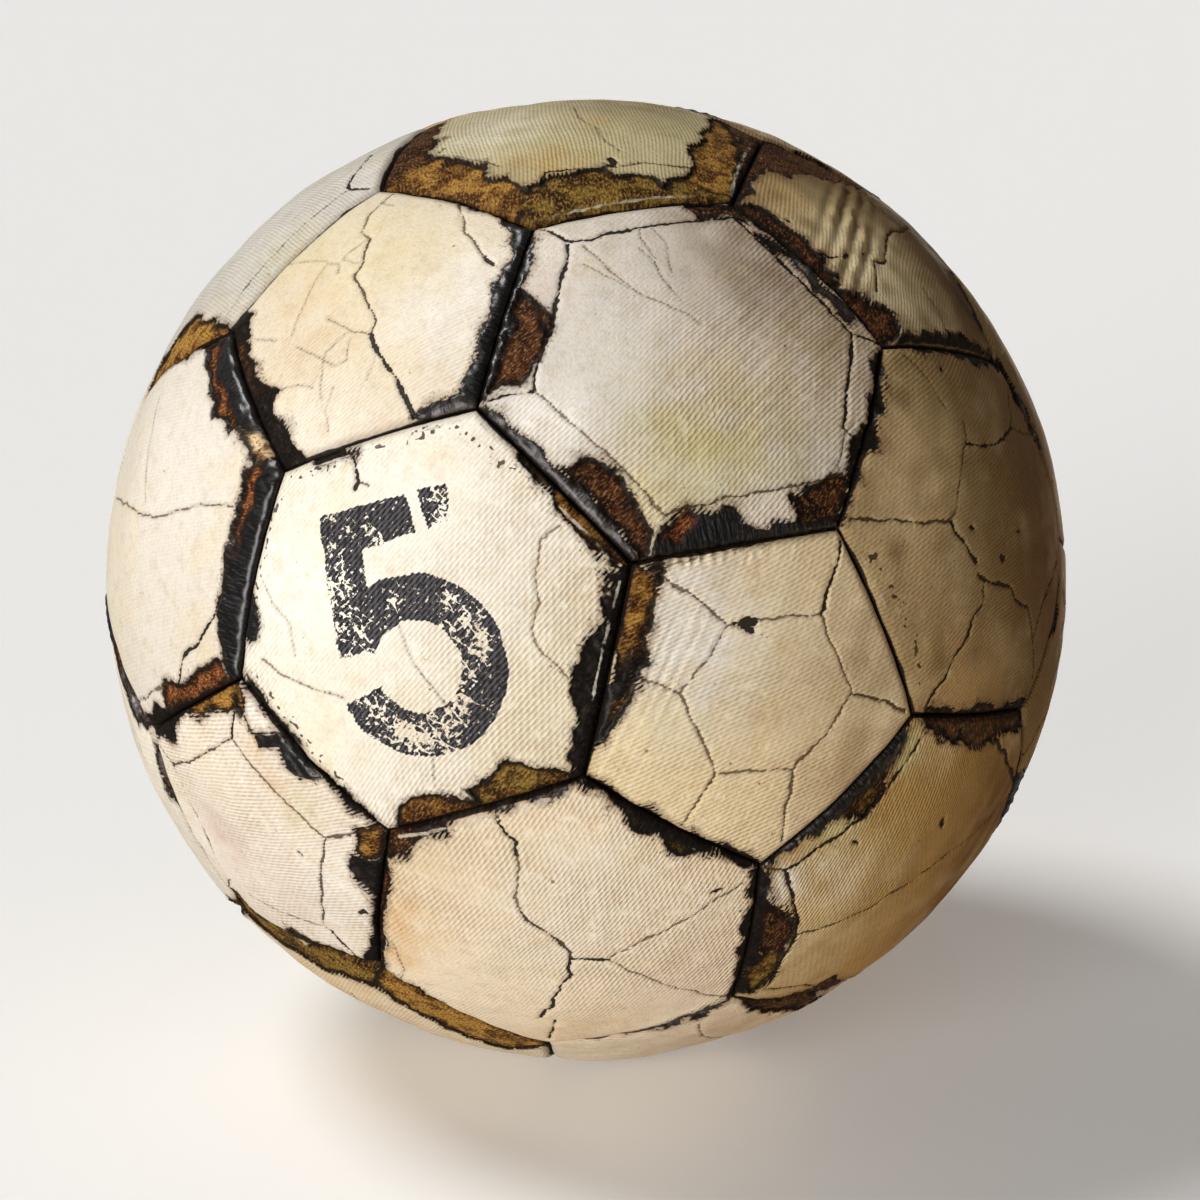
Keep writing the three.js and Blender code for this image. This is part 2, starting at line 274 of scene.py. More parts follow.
                   ("ochre", 2, -3, 4, 0.4), ("rose", 20, -26, 14, 0.35), ("tan", 20, -16, 14, 0.7),
                   ("white", -16, 16, 16, 0.9), ("umber", 26, -16, 14, 0.22)],
        "wrinkles": [(-22, 4, 62, 44, 12, 2.3, 0.16), (-8, 29, 85, 3, 22, 2.2, 0.2)],
    },
    "hexagon_panel_02": {
        "coat": "peach",
        "ribs": (57, 0.8, [(-26, -14, 18), (-6, -34, 16), (20, -30, 14)]),
        "cracks": [
            (0.6, [(-13, 34.5), (-11, 31), (-9, 29.7), (-8.5, 26)]),
            (0.4, [(-8.5, 26), (-9, 16), (-8.5, 12)]),
            (0.55, [(-8.5, 12), (-7, 9.5), (-3, 6), (0, 2), (2, -0.5), (1.5, -2.8)]),
            (0.8, [(1.5, -2.8), (5, -3), (9.5, -3)]),
            (0.4, [(9.5, -3), (14, 1.5), (24, 7), (37, 14.5)]),
            (0.35, [(9.5, -3), (20, -13), (30, -21.5), (34.5, -24.5)]),
            (0.6, [(1.5, -2.8), (1.3, -6), (2, -8.5), (-1, -13), (-3, -20), (-5.5, -26.5)]),
            (0.7, [(-2.5, -28), (-3.5, -34), (-4.5, -39.5)]),
            (1.0, [(-12.5, 35), (-12, 34)]),
            (0.9, [(31.2, 13.8), (32.5, 14.2)]),
            (0.2, [(-36.5, -6), (-35, -14), (-35, -22)]),
        ],
        "peels": [
            ("char", [(4, 44), (9, 40), (12, 37), (15, 33), (20, 30.5), (22, 26.5), (25, 24.2), (30, 24.8),
                      (32, 24), (37, 19.5), (42, 17), (8, 46)]),
            ("olive", [(11, 39.8), (15, 36.5), (17, 34.2), (13, 36.8)]),
            ("olive", [(21, 30), (26, 27), (24, 25.5), (22, 27)]),
            ("bark", [(-36, 28), (-37, 20), (-34, 19.5), (-30.5, 24), (-27, 28), (-22.5, 29.5), (-23, 32),
                      (-34, 29)]),
            ("gold", [(-34.5, 25.5), (-34.5, 22), (-31.5, 25), (-28.5, 28.5), (-31, 29)]),
            ("chalk", [(-16, 36.2), (-10, 37.6), (0, 41), (5, 44.5), (2, 46), (-20, 38)]),
            ("bark", [(-36, 22), (-36, 14), (-37.5, 4), (-38.5, -6), (-39.3, -18), (-44, -18), (-39, 26)]),
            ("char", [(38.2, 17), (38.6, 8), (37, -4), (35.3, -18), (34, -25), (38, -28), (44, 18)]),
            ("bark", [(-40, -18), (-36, -20), (-30, -24), (-27, -26.6), (-33, -25), (-42, -20)]),
            ("chalk", [(33, -25.5), (26, -29.5), (14, -36), (22, -36.4), (36, -30)]),
        ],
        "tints": [("amber", -35, 2, 8, 0.5), ("amber", -36, -10, 6, 0.45), ("bone", 4, 12, 22, 0.45),
                   ("tan", -28, 20, 12, 0.3), ("amber", 4, -40, 18, 0.35), ("rose", 28, -14, 12, 0.3)],
        "lips": [(0.6, [(-20, 31.8), (-10, 36), (0, 40.4), (3.4, 41.8)]), (0.3, [(-33, 26), (-20, 31.8)]),
                 (0.2, [(-36, 9), (-37.6, -4), (-38.8, -14)]), (0.2, [(27, 25.8), (32, 22), (36, 19)])],
    },
    "hexagon_panel_03": {
        "coat": "pearl",
        "ribs": (21, 0.15, []),
        "cracks": [
            (0.4, [(-43, -3), (-30, -0.7), (-20, 0.3), (-14, 1.2), (-9, 1), (0, 2), (5, 4), (12, 7), (20, 10),
                   (29, 12)]),
            (0.6, [(32, -7), (30, -11), (26, -18), (20, -23), (18, -29)]),
            (0.45, [(13, -31), (3, -36), (-6, -40.5)]),
            (0.2, [(-19, 25), (-12, 14), (-5, 4)]),
        ],
        "peels": [
            ("rust", [(29.6, 22.6), (35, 22), (34, 6), (33.4, -2), (31.8, 4), (30.6, 12)]),
            ("tar", [(31.6, 23), (32.6, 16), (32.4, 8), (31.4, 0), (32, -8), (33, -14), (34.4, -20),
                     (37, -24), (42, -22), (41, 24)]),
            ("tar", [(-3, 43), (-3.5, 41.2), (4, 36), (12, 31.5), (20, 27.4), (27, 28.4), (31, 28), (2, 48)]),
            ("rust", [(-3, 41.6), (-5.5, 39.4), (4, 33.6), (12, 29), (20, 26.2), (22, 28), (8, 35)]),
            ("char", [(-6, 39.4), (4, 32.8), (12, 28), (13, 29), (20, 26), (19, 27.2), (4, 34.2)]),
            ("straw", [(22, 27), (30, 22.4), (36, 23.6), (35, 26), (28, 29)]),
            ("rust", [(34, -20.6), (27, -23), (18.5, -29), (13, -31), (11, -33), (11, -36), (18, -34),
                      (36, -24)]),
            ("char", [(11, -35.6), (3, -39.6), (-2, -42), (-2, -46), (38, -26), (37, -22.6)]),
            ("bark", [(-1, 43), (-5.5, 40), (-20, 32), (-35, 25), (-38, 20), (-44, 22), (-4, 48)]),
        ],
        "tints": [("white", 6, 16, 22, 0.3), ("tan", 27, -18, 9, 0.35), ("cream", -20, -14, 22, 0.4),
                   ("lime", -22, -32, 10, 0.25)],
    },
    "pentagon_panel_03": {
        "coat": "blush",
        "ribs": (14, 0.65, [(-20, -10, 12)]),
        "cracks": [
            (0.4, [(-1, 24), (10, 14), (21, 5)]),
            (0.5, [(21, 5), (16, -9), (11, -22)]),
            (0.3, [(11, -22), (0, -21.5), (-12, -21)]),
            (0.5, [(-27, 9), (-14, 15.5), (-1, 24)]),
            (0.55, [(-27, 9), (-24.5, 2), (-21.5, -5), (-21, -16), (-19.5, -19)]),
            (0.6, [(-1, 24), (0.5, 30)]),
            (0.5, [(21, 5), (29, 7.5), (36, 9)]),
            (0.6, [(11, -22), (15, -30)]),
            (0.45, [(-27, 9), (-34, 12.5)]),
            (0.5, [(-19, -19), (-26, -27)]),
            (1.2, [(24, -14.5), (25.2, -14)]),
            (0.5, [(12.8, 0.3), (13.4, -0.4)]),
        ],
        "peels": [
            ("gold", [(2, 38), (0, 31), (-5, 29.4), (-9, 27), (-15, 25), (-19, 26), (-10, 33)]),
            ("char", [(-15, 25.4), (-21, 21.5), (-21.5, 17.5), (-25, 15.6), (-29, 16), (-33, 14.6), (-37, 17),
                      (-14, 32)]),
            ("olive", [(0, 35), (0.5, 31), (3, 30), (5, 33.6), (4, 38)]),
            ("tar", [(4.4, 30.5), (6, 27), (9, 27.6), (14, 28.4), (20, 23.4), (22, 20.4), (18.5, 19),
                     (15, 20.6), (12, 25), (7.6, 24.2)]),
            ("char", [(4, 38), (13, 30.6), (20, 23.6), (30, 14), (36, 9.4), (38, 12), (6, 42)]),
            ("gold", [(36, 10), (30, 8.8), (29, 3), (31, 0), (34, 2), (37, 8)]),
            ("char", [(30, 1), (27, 2), (25.8, -4), (28, -6.4), (29, -9), (26, -18), (21, -27), (17, -31),
                      (22, -34), (36, 0)]),
            ("bark", [(31, -7), (28.5, -14), (25, -21), (22, -29), (25, -28), (34, -6)]),
            ("char", [(-35, 6), (-33, 3), (-36, -1), (-38, -3), (-38, 5)]),
            ("char", [(-35, -12), (-27.5, -14), (-27, -16), (-32, -21), (-36, -19)]),
            ("olive", [(-5, -29), (-3.5, -27), (-0.5, -26.4), (3, -28.8), (10, -29.6), (18, -30), (18, -35),
                       (-8, -33)]),
            ("bark", [(-24, -25), (-20, -24), (-16.5, -27.4), (-20, -32), (-28, -29)]),
        ],
        "tints": [("rose", -13, -3, 8, 0.5), ("lime", 16, 11, 6, 0.35), ("white", 9, 30, 6, 1.0),
                   ("ochre", 6, 25, 5, 0.35), ("white", 18, -10, 10, 0.4), ("bone", -28, -6, 9, 0.5),
                   ("amber", 10, 16, 4, 0.25), ("rose", 6, -18, 5, 0.25)],
    },
    "hexagon_panel_04": {
        "coat": "moss",
        "ribs": (95, 0.5, []),
        "cracks": [
            (0.3, [(0, 12), (1, 4), (5, -4), (7, -12), (10, -17)]),
            (0.5, [(10, -23), (15, -21), (24, -20)]),
            (1.6, [(8, -20.5), (9, -23.5), (7, -23.6)]),
            (0.4, [(-20, -16), (-16, -20)]),
            (0.9, [(-29, -6), (-28, -5)]),
            (0.7, [(-6.5, -28.5), (-6, -25.6), (5, -24.5)]),
        ],
        "peels": [
            ("bark", [(-42, -14), (-30, -9.4), (-31.5, -4), (-29, 0), (-31, 8), (-29, 12), (-30, 22),
                      (-28, 28), (-32, 36), (-48, 20)]),
            ("gold", [(-42, -14), (-38, -10), (-30, -9.4), (-24, -14), (-20, -16), (-19, -23), (-17, -26),
                      (-14, -25), (-11.5, -31), (-9, -32), (-12, -44), (-44, -18)]),
            ("olive", [(-12, -44), (-11.5, -31), (-9, -32), (-6.5, -28.6), (0, -26), (6, -24.4), (8, -27),
                       (14, -26), (19, -28), (23, -25.2), (34, -27), (36, -32), (-6, -48)]),
            ("bark", [(-6, -36), (2, -33), (12, -32), (20, -30.6), (22, -33), (8, -38), (-8, -43)]),
            ("gold", [(22, -26), (25, -20), (25, -12), (28, 0), (30, 12), (30, 20), (34, 20), (36, 0),
                      (34, -28)]),
            ("bark", [(34, -30), (35, -14), (36, 0), (34, 20), (22, 32), (8, 36), (8, 46), (46, 18),
                      (40, -20)]),
            ("olive", [(-33, 30), (-26, 29), (-12, 35), (8, 36), (8, 48), (-36, 36)]),
            ("chalk", [(-34, -21), (-31, -24), (-28, -27.4), (-30, -29), (-36, -24)]),
        ],
        "tints": [("lime", -8, -10, 14, 0.6), ("ochre", -6, -21, 9, 0.6), ("ochre", 4, 0, 5, 0.45),
                   ("bone", -16, 0, 15, 0.5), ("umber", 14, 24, 18, 0.55), ("lime", 18, -8, 12, 0.4),
                   ("umber", -12, -24, 6, 0.3)],
        "lips": [(0.35, [(-6, -41), (8, -36.2), (24, -30.8)]), (0.35, [(33, -26), (36, -10), (38.4, 2)])],
    },
    "pentagon_panel_04": {
        # Painted shade: the drab coat and the two near-black patches make it darker towards the right, away
        # from the light; the tan and butter patches leave its left paler.
        "coat": "drab",
        "ribs": (24, 0.5, [(0, 10, 16)]),
        "cracks": [
            (0.55, [(-22, -10), (-18, -8), (-14, -5), (-9, -6), (0, -2), (6, -1.5), (14, -2.5), (22, -2)]),
            (0.7, [(-27, 4), (-22, 0), (-19, 0)]),
            (0.4, [(-5, -16), (-6, -22), (-9, -27)]),
            (0.8, [(-14.5, -2), (-13, -2)]),
            (0.9, [(-24, 14), (-23.5, 13.4)]),
        ],
        "peels": [
            ("bark", [(-28, 24), (-26, 20), (-26, 10), (-27, 3), (-30, -5), (-28, -8), (-23, -16), (-26, -20),
                      (-32, -20), (-34, -10), (-31, 26)]),
            ("chalk", [(-32, 20), (-29.5, 18), (-29.4, 8), (-31, 2), (-34, 6)]),
            ("bark", [(-27, 23), (-20, 25.4), (-10, 26.4), (-7, 22.6), (0, 21), (8, 17), (14, 13.6), (24, 12),
                      (34, 8), (40, -4), (40, 10), (16, 38), (-30, 28)]),
            ("char", [(-26, -20.6), (-15, -24), (-8, -27.6), (-2, -27.4), (0, -31), (9, -35), (8, -40),
                      (-34, -24)]),
            ("char", [(27, -15), (18, -20), (12, -29), (14, -36), (34, -10)]),
        ],
        "tints": [("tan", -20, 6, 20, 0.85), ("ochre", -16, 20, 6, 0.35), ("butter", -19, -11, 16, 0.85),
                   ("limbShade", 28, 4, 20, 0.8), ("limbShade", 20, -24, 15, 0.8), ("umber", 6, 22, 12, 0.5)],
        "wrinkles": [(-5, 5, 17, 54, 16, 4.0, 0.42)],
    },
    "hexagon_panel_05": {
        # Painted shade: the khaki coat and the umber and russet patches make it darker towards the right,
        # away from the light; the tan patches leave its left paler.
        "coat": "khaki",
        "ribs": (16, 0.8, []),
        "cracks": [
            (0.5, [(-40, 12), (-30, 9), (-20, 6), (-15, 5)]),
            (0.7, [(-15, 5), (-14, 2), (-11, -2), (-9, -5)]),
            (0.4, [(-15, 5), (-12, 7), (-7, 13), (-1, 19), (1, 23)]),
            (0.6, [(-1, 19), (5, 16.5), (10, 16), (18, 17), (22, 18)]),
            (0.35, [(22, 18), (30, 25)]),
            (0.4, [(22, 18), (28, 15), (34, 14)]),
            (0.7, [(-9, -8), (-5, -10.5), (3, -13.5), (5, -17), (11, -20)]),
            (0.5, [(11, -20), (13, -28), (15, -36)]),
            (0.6, [(-7, -11), (-8, -14), (-12, -17), (-20, -24), (-28, -31)]),
            (0.5, [(13, -27), (21, -20), (30, -16), (40, -11)]),
            (0.3, [(-8, 40), (-5, 34), (-3, 27)]),
            (1.2, [(9.4, -3), (10.4, -3.2)]),
            (0.9, [(-9, 2), (-8, 1.6)]),
            (1.0, [(1, -7), (2.4, -7.2)]),
            (0.8, [(1.5, 35), (2, 35)]),
        ],
        "peels": [
            ("char", [(-15, 39.6), (-17, 36.8), (-19.6, 33.6), (-26, 28), (-27, 25), (-32, 22.6), (-40, 14),
                      (-42, 12), (-46, 14), (-14, 44)]),
            ("char", [(-6, 42), (0, 39), (10, 36.4), (20, 32.6), (31, 29.6), (34, 34), (-8, 46)]),
            ("char", [(37, 8), (33, 18), (31, 30), (36, 34), (44, 0), (41, -8)]),
            ("bark", [(-28, -31.6), (-14, -35), (0, -38.4), (11, -40), (12, -44), (-34, -34)]),
        ],
        "tints": [("tan", -34, 2, 14, 0.8), ("tan", -22, -20, 17, 0.6), ("tan", -20, 20, 20, 0.9),
                   ("umber", 30, 10, 24, 0.65), ("russet", 26, -16, 19, 0.55), ("amber", -16, -34, 14, 0.3)],
        "lips": [(0.25, [(-40.4, 6), (-38.6, -1), (-36.6, -8)])],
        "dots": [[(-37.4, 4), (-35.8, -1), (-32.2, -13.6), (-29.4, -24)], [(-30, 22), (-24, 29), (-18, 36)]],
    },
    "hexagon_panel_06": {
        # Painted shade: the sage coat and the russet and amber patches make it darker towards the right and
        # bottom, away from the light; the pale patches on its left stay paler.
        "coat": "sage",
        "ribs": (75, 0.8, []),
        "cracks": [
            (0.9, [(-8, 38), (-12, 33), (-17, 27), (-20, 23.5), (-27, 18), (-37, 10.5)]),
            (0.7, [(-37, 10.5), (-31, -1), (-28, -8.5), (-27, -16), (-25, -29)]),
            (0.5, [(-29, -9), (-20, -7), (-10, -4.5), (-5, -1.5), (0, -1), (7, 1.5), (15, 4), (30, 6),
                   (38, 7)]),
            (0.9, [(20, 29), (28, 20), (35, 13), (40, 5), (43, 1)]),
            (0.5, [(-25, -29), (-15, -30), (-10, -32)]),
            (0.5, [(-37, 10.5), (-41.5, 11.5)]),
            (1.3, [(4, 15), (5, 13.4)]),
            (0.7, [(-22, 16), (-21, 15.8)]),
        ],
        "peels": [
            ("tar", [(-12.5, 40), (-16, 34), (-18.5, 30), (-26, 26), (-30, 22), (-38, 15.4), (-42, 12),
                     (-46, 14), (-13, 46)]),
            ("olive", [(-17, 33), (-17, 28), (-20, 23), (-25, 22), (-27, 25), (-22, 29)]),
            ("bark", [(-38.5, 1), (-34, 0.4), (-32, -2), (-29, -8), (-28, -14), (-31, -16), (-37, -8)]),
            ("olive", [(-33, -13), (-28, -14), (-26.6, -20), (-26, -27), (-30, -29.6), (-34, -22)]),
            ("char", [(-41, 11), (-38.5, 3), (-36.5, -6), (-33, -17), (-31, -29), (-34, -34), (-46, 10)]),
            ("bark", [(-8, 40.6), (0, 35.4), (8, 31.4), (19, 29.6), (31, 28), (34, 34), (-8, 46)]),
            ("char", [(-9, 42), (0, 38.4), (12, 35), (30, 30.4), (34, 34), (-8, 46)]),
            ("bark", [(-14, -34), (-5, -31), (3, -35), (11, -40), (10, -46), (-30, -34)]),
        ],
        "tints": [("cream", -26, 6, 10, 0.5), ("ochre", -26, -3, 6, 0.4), ("white", -37, 6, 5, 0.9),
                   ("tan", -24, -18, 18, 0.85), ("butter", -26, 10, 10, 0.4), ("lime", -28, 22, 6, 0.8),
                   ("lime", -12, 36, 5, 0.8), ("amber", 18, -22, 22, 0.45), ("russet", 30, 14, 20, 0.65),
                   ("russet", 30, -16, 19, 0.65)],
    },
    "hexagon_panel_07": {
        "coat": "peach",
        "ribs": (40, 0.5, []),
        "cracks": [(0.5, [(6, 18), (-4, 2), (-12, -14)]), (0.4, [(-4, 2), (-22, 8)])],
        "peels": [
            ("olive", [(-18, 42), (-15, 33), (-5, 30), (3, 27), (12, 27), (20, 26), (29, 36)]),
            ("gold", [(29, 36), (20, 26), (23, 15), (26, 5), (28, -5), (30, -11), (46, -8)]),
            ("char", [(20.6, 27), (23.5, 30), (28, 36), (24, 33)]),
            ("char", [(34, 14), (38, 4), (42, -4), (38, -3), (36, 4)]),
            ("bark", [(-18, 42), (-16, 36), (-25, 30), (-30, 24), (-36, 30)]),
        ],
        "tints": [("ochre", 0, 14, 18, 0.3), ("ochre", 18, 30, 9, 0.3), ("amber", 0, -10, 30, 0.3)],
    },
    "hexagon_panel_09": {
        "coat": "mist",
        "ribs": (20, 0.4, []),
        "cracks": [(0.6, [(28.5, 31), (23, 26.5), (20, 26.5), (10, 30), (0, 31)]),
                   (0.5, [(23, 26.5), (29, 10), (35, -5), (37, -10)])],
        "peels": [
            ("gold", [(43, -9), (39, -10.6), (32, -14.6), (22, -18), (19, -20), (16, -27), (13, -34),
                      (14, -44), (46, -10)]),
            ("bark", [(42, -12), (30, -22), (24, -30), (16, -40), (14, -46), (46, -14)]),
        ],
        "tints": [("white", 10, 10, 22, 0.4), ("lime", 34, 8, 9, 0.3), ("white", 14, 34, 12, 0.3)],
    },
    "pentagon_panel_05": {
        "coat": "peach",
        "ribs": (30, 0.5, []),
        "cracks": [(0.4, [(-10, 27), (-4, 15), (3, 7), (8, 0), (14, -12)]), (0.3, [(9, 24), (12, 18)])],
        "peels": [
            ("chalk", [(-6, 37), (-12, 30), (-22, 22), (-36, 12), (-40, 12), (-8, 41)]),
            ("bark", [(-4, 38), (0, 31), (8, 24), (16, 19), (25, 8), (36, 8), (4, 42)]),
        ],
        "tints": [("rose", -6, 18, 16, 0.3), ("amber", 6, 14, 18, 0.35)],
    },
}

# The size number: a band bent into a bowl, a stem and a bar, in millimetres on its panel.
numeral = {
    "bowlCentre": (1.0, -8.0),
    "bowlRadius": 14.0,
    "bowlHalfWidth": 4.6,
    "bowlFrom": -148,
    "bowlTo": 172,
    "stem": [(-23.5, 19.5), (-13, 15.5), (-9, 0), (-8.2, -5.4), (-16, -8.2)],
    "bar": [(-23.5, 19.5), (-21, 12), (-13, 14.2), (5.5, 21.5), (3.5, 29)],
    "gap": [(-5.6, 27.5), (-3, 28.2), (1, 19.6), (-0.6, 18)],
    "scuffs": [(-18, 7, 5, 0.6), (-14, -1, 5, 0.55), (-12, -6, 4, 0.55), (-12, 18.5, 1.6, 1.3),
               (-10.2, 16, 1.6, 1.3), (-20, 13, 1.4, 1.3), (-18, 10.2, 1.5, 1.2), (-20, 20, 4, 0.3),
               (-4.5, 4.6, 1.6, 1.3), (7, 6.4, 1.7, 1.2), (10.6, 1, 4, 1.0), (13.6, -2.4, 3, 1.0),
               (10, -8, 3.6, 0.85), (10, -15, 4, 0.8), (6.6, -20.4, 5, 0.95), (3, -23, 3.2, 1.4),
               (-1.6, -22, 3.0, 1.7), (-8, -19, 5.4, 0.5), (4.6, 21.6, 3, 1.2), (2, 27, 3, 0.6)],
}


def axesFor(outward):
    # Columns: right, up and outward on a panel, seen from outside.
    guide = Vector((0, 0, 1)) if abs(outward.z) < nearlyUp else Vector((0, 1, 0))
    up = (guide - outward * guide.dot(outward)).normalized()
    return Matrix((up.cross(outward), up, outward)).transposed()


def makePattern():
    # An icosahedron with its corners cut off: twelve pentagons and twenty hexagons.
    pattern = bmesh.new()
    bmesh.ops.create_icosphere(pattern, subdivisions=1, radius=ball["radius"])
    bmesh.ops.bevel(pattern, geom=pattern.verts[:], offset=100 / 3, offset_type="PERCENT",
                    affect="VERTICES", segments=1, profile=0.5, material=-1)
    reach = pattern.verts[:][0].co.length
    bmesh.ops.scale(pattern, vec=[ball["radius"] / reach] * 3, verts=pattern.verts)
    start = next(face for face in pattern.faces if len(face.verts) == 6)
    beside = next(face for edge in start.edges for face in edge.link_faces if len(face.verts) == 5)
    outward = start.calc_center_median().normalized()
    up = beside.calc_center_median()
    up = (up - outward * up.dot(outward)).normalized()
    upright = Matrix((up.cross(outward), up, outward))
    lay = (Matrix.Rotation(math.radians(ball["azimuth"]), 3, "Z")
           @ Matrix.Rotation(math.radians(90 - ball["elevation"]), 3, "X")
           @ Matrix.Rotation(math.radians(-ball["roll"]), 3, "Z"))
    bmesh.ops.transform(pattern, matrix=(lay @ upright).to_4x4(), verts=pattern.verts)
    return pattern


def nameOf(outward):
    # The CAD panel that faces this way.
    def facing(name):
        low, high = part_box(name)
        return ((low + high) / 2).normalized().dot(outward)
    return max((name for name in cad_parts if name.endswith("panel") or "_panel_" in name), key=facing)


def ripple(places, size, seed, waves=9):
    # Smooth noise, about -2 to 2, with features of the given size.
    rng = np.random.default_rng(seed)
    ways = rng.normal(size=(waves, 3))
    ways /= np.linalg.norm(ways, axis=1)[:, None] * size * rng.uniform(0.7, 1.5, (waves, 1))
    turns = 2 * np.pi * (places @ ways.T + rng.uniform(0, 1, waves))
    return np.sin(turns).sum(1) / math.sqrt(waves / 2)


def pathDistance(flat, path):
    best = np.full(len(flat), 1e3)
    for a, b in zip(path[:-1], path[1:]):
        a, along = np.array(a), np.subtract(b, a)
        share = np.clip((flat - a) @ along / max(along @ along, 1e-9), 0, 1)
        best = np.minimum(best, np.linalg.norm(flat - a - share[:, None] * along, axis=1))
    return best


def patchDistance(flat, outline):
    # Below nought inside the outline.
    inside = np.zeros(len(flat), bool)
    x, y = flat.T
    for (ax, ay), (bx, by) in zip(outline, outline[1:] + outline[:1]):
        crosses = (ay > y) != (by > y)
        inside ^= crosses & (x < (bx - ax) * (y - ay) / (by - ay if by != ay else 1e-9) + ax)
    edge = pathDistance(flat, outline + outline[:1])
    return np.where(inside, -edge, edge)


def nearby(flat, path, margin=3.0):
    # The numbers of the points close enough to a path to be touched by it.
    low, high = np.min(path, axis=0) - margin, np.max(path, axis=0) + margin
    return np.flatnonzero(((flat > low) & (flat < high)).all(1))


def numeralDistance(flat):
    fromCentre = flat - numeral["bowlCentre"]
    radius = np.linalg.norm(fromCentre, axis=1)
    angle = np.degrees(np.arctan2(fromCentre[:, 1], fromCentre[:, 0]))
    beyond = np.maximum(numeral["bowlFrom"] - angle, angle - numeral["bowlTo"])
    bowl = np.maximum(abs(radius - numeral["bowlRadius"]) - numeral["bowlHalfWidth"],
                      np.radians(beyond) * numeral["bowlRadius"])
    stem, bar, gap = (patchDistance(flat, numeral[name]) for name in ("stem", "bar", "gap"))
    return np.maximum(np.minimum(bowl, np.minimum(stem, bar)), -gap)


def blob(flat, x, y, radius):
    return np.exp(-((flat[:, 0] - x) ** 2 + (flat[:, 1] - y) ** 2) / radius ** 2)


def turned(flat, middle, degrees):
    # Places along and across a line at this angle.
    lean = math.radians(degrees)
    x, y = (flat - middle).T
    return x * math.cos(lean) + y * math.sin(lean), -x * math.sin(lean) + y * math.cos(lean)


def swell(distance, height, away, width):
    # A soft ring this far from a line.
    return height * np.exp(-((distance - away) / width) ** 2)


invented = {
    "layers": ["char", "bark", "gold", "olive", "rust", "tar", "bark", "char", "slateAndSheen"],
    "deeperLayers": ["char", "bark"],
    "coats": ["cream", "ivory", "tan", "peach", "buff", "blush", "moss", "butter"],
    "tints": ["ochre", "lime", "tan", "white", "rose", "umber", "amber", "ochre"],
    "patches": (0, 4),          # from, and fewer than, on each side
    "patchHalf": (3, 15),
    "patchDepth": (1.2, 6.5),
    "ringShare": 0.45,          # of the panels have a ring of short cracks
    "ringReach": (0.32, 0.58),  # of the way to a corner
    "ringWidth": (0.25, 0.5),
    "crackWidth": (0.3, 0.7),
    "forkWidth": (0.2, 0.4),
    "forkLength": (8, 22),
    "hairlines": 9,
    "hairlineWidth": (0.08, 0.2),
    "hairlineLength": (4, 13),
    # Coats set by panel: umber, khaki and sage are painted shade on panels on the side turned from the light,
    # and bone keeps two panels pale.
    "shadedCoats": {"hexagon_panel_10": "umber", "hexagon_panel_11": "khaki", "pentagon_panel_08": "khaki",
                    "hexagon_panel_12": "sage", "hexagon_panel_08": "bone", "pentagon_panel_06": "bone"},
}


def wander(rng, start, turn, length, steps, bend):
    # A crack that sets off in one direction and drifts.
    path = [tuple(start)]
    stride = length / steps
    for step in range(steps):
        turn += rng.uniform(-bend, bend)
        x, y = path[-1]
        path.append((x + stride * math.cos(turn), y + stride * math.sin(turn)))
    return path


def inventCracks(rng, reach):
    first = rng.uniform(0, 2 * np.pi)
    cracks = []
    if rng.uniform() < invented["ringShare"]:       # with others running out to the sides
        count = int(rng.integers(4, 7))
        turns = [first + 2 * np.pi * corner / count + rng.uniform(-0.25, 0.25) for corner in range(count)]
        ring = [(far * math.cos(turn), far * math.sin(turn))
                for turn, far in zip(turns, rng.uniform(*invented["ringReach"], count) * reach)]
        for corner, turn in enumerate(turns):
            if rng.uniform() < 0.85:
                width = rng.uniform(*invented["ringWidth"])
                cracks.append((width, [ring[corner], ring[(corner + 1) % count]]))
            if rng.uniform() < 0.8:
                outwards = wander(rng, ring[corner], turn + rng.uniform(-0.3, 0.3), reach * 0.7, 3, 0.15)
                cracks.append((rng.uniform(*invented["crackWidth"]), outwards))
    else:                           # long ones right across, with forks
        for branch in range(int(rng.integers(2, 4))):
            turn = first + branch * rng.uniform(0.9, 1.5)
            side = rng.uniform(-0.5, 0.5) * reach
            begin = (-reach * math.cos(turn) - side * math.sin(turn),
                     -reach * math.sin(turn) + side * math.cos(turn))
            path = wander(rng, begin, turn, reach * rng.uniform(1.0, 2.0), 9, 0.4)
            cracks.append((rng.uniform(*invented["crackWidth"]), path))
            for joint in rng.choice(8, 2, replace=False):
                lean = turn + rng.choice([-1, 1]) * rng.uniform(0.6, 1.3)
                width = rng.uniform(*invented["forkWidth"])
                length = rng.uniform(*invented["forkLength"])
                cracks.append((width, wander(rng, path[joint], lean, length, 4, 0.3)))
    for hairline in range(invented["hairlines"]):
        begin = rng.uniform(-0.6, 0.6, 2) * reach
        width = rng.uniform(*invented["hairlineWidth"])
        turn = rng.uniform(0, 6.3)
        cracks.append((width, wander(rng, begin, turn, rng.uniform(*invented["hairlineLength"]), 3, 0.6)))
    return cracks


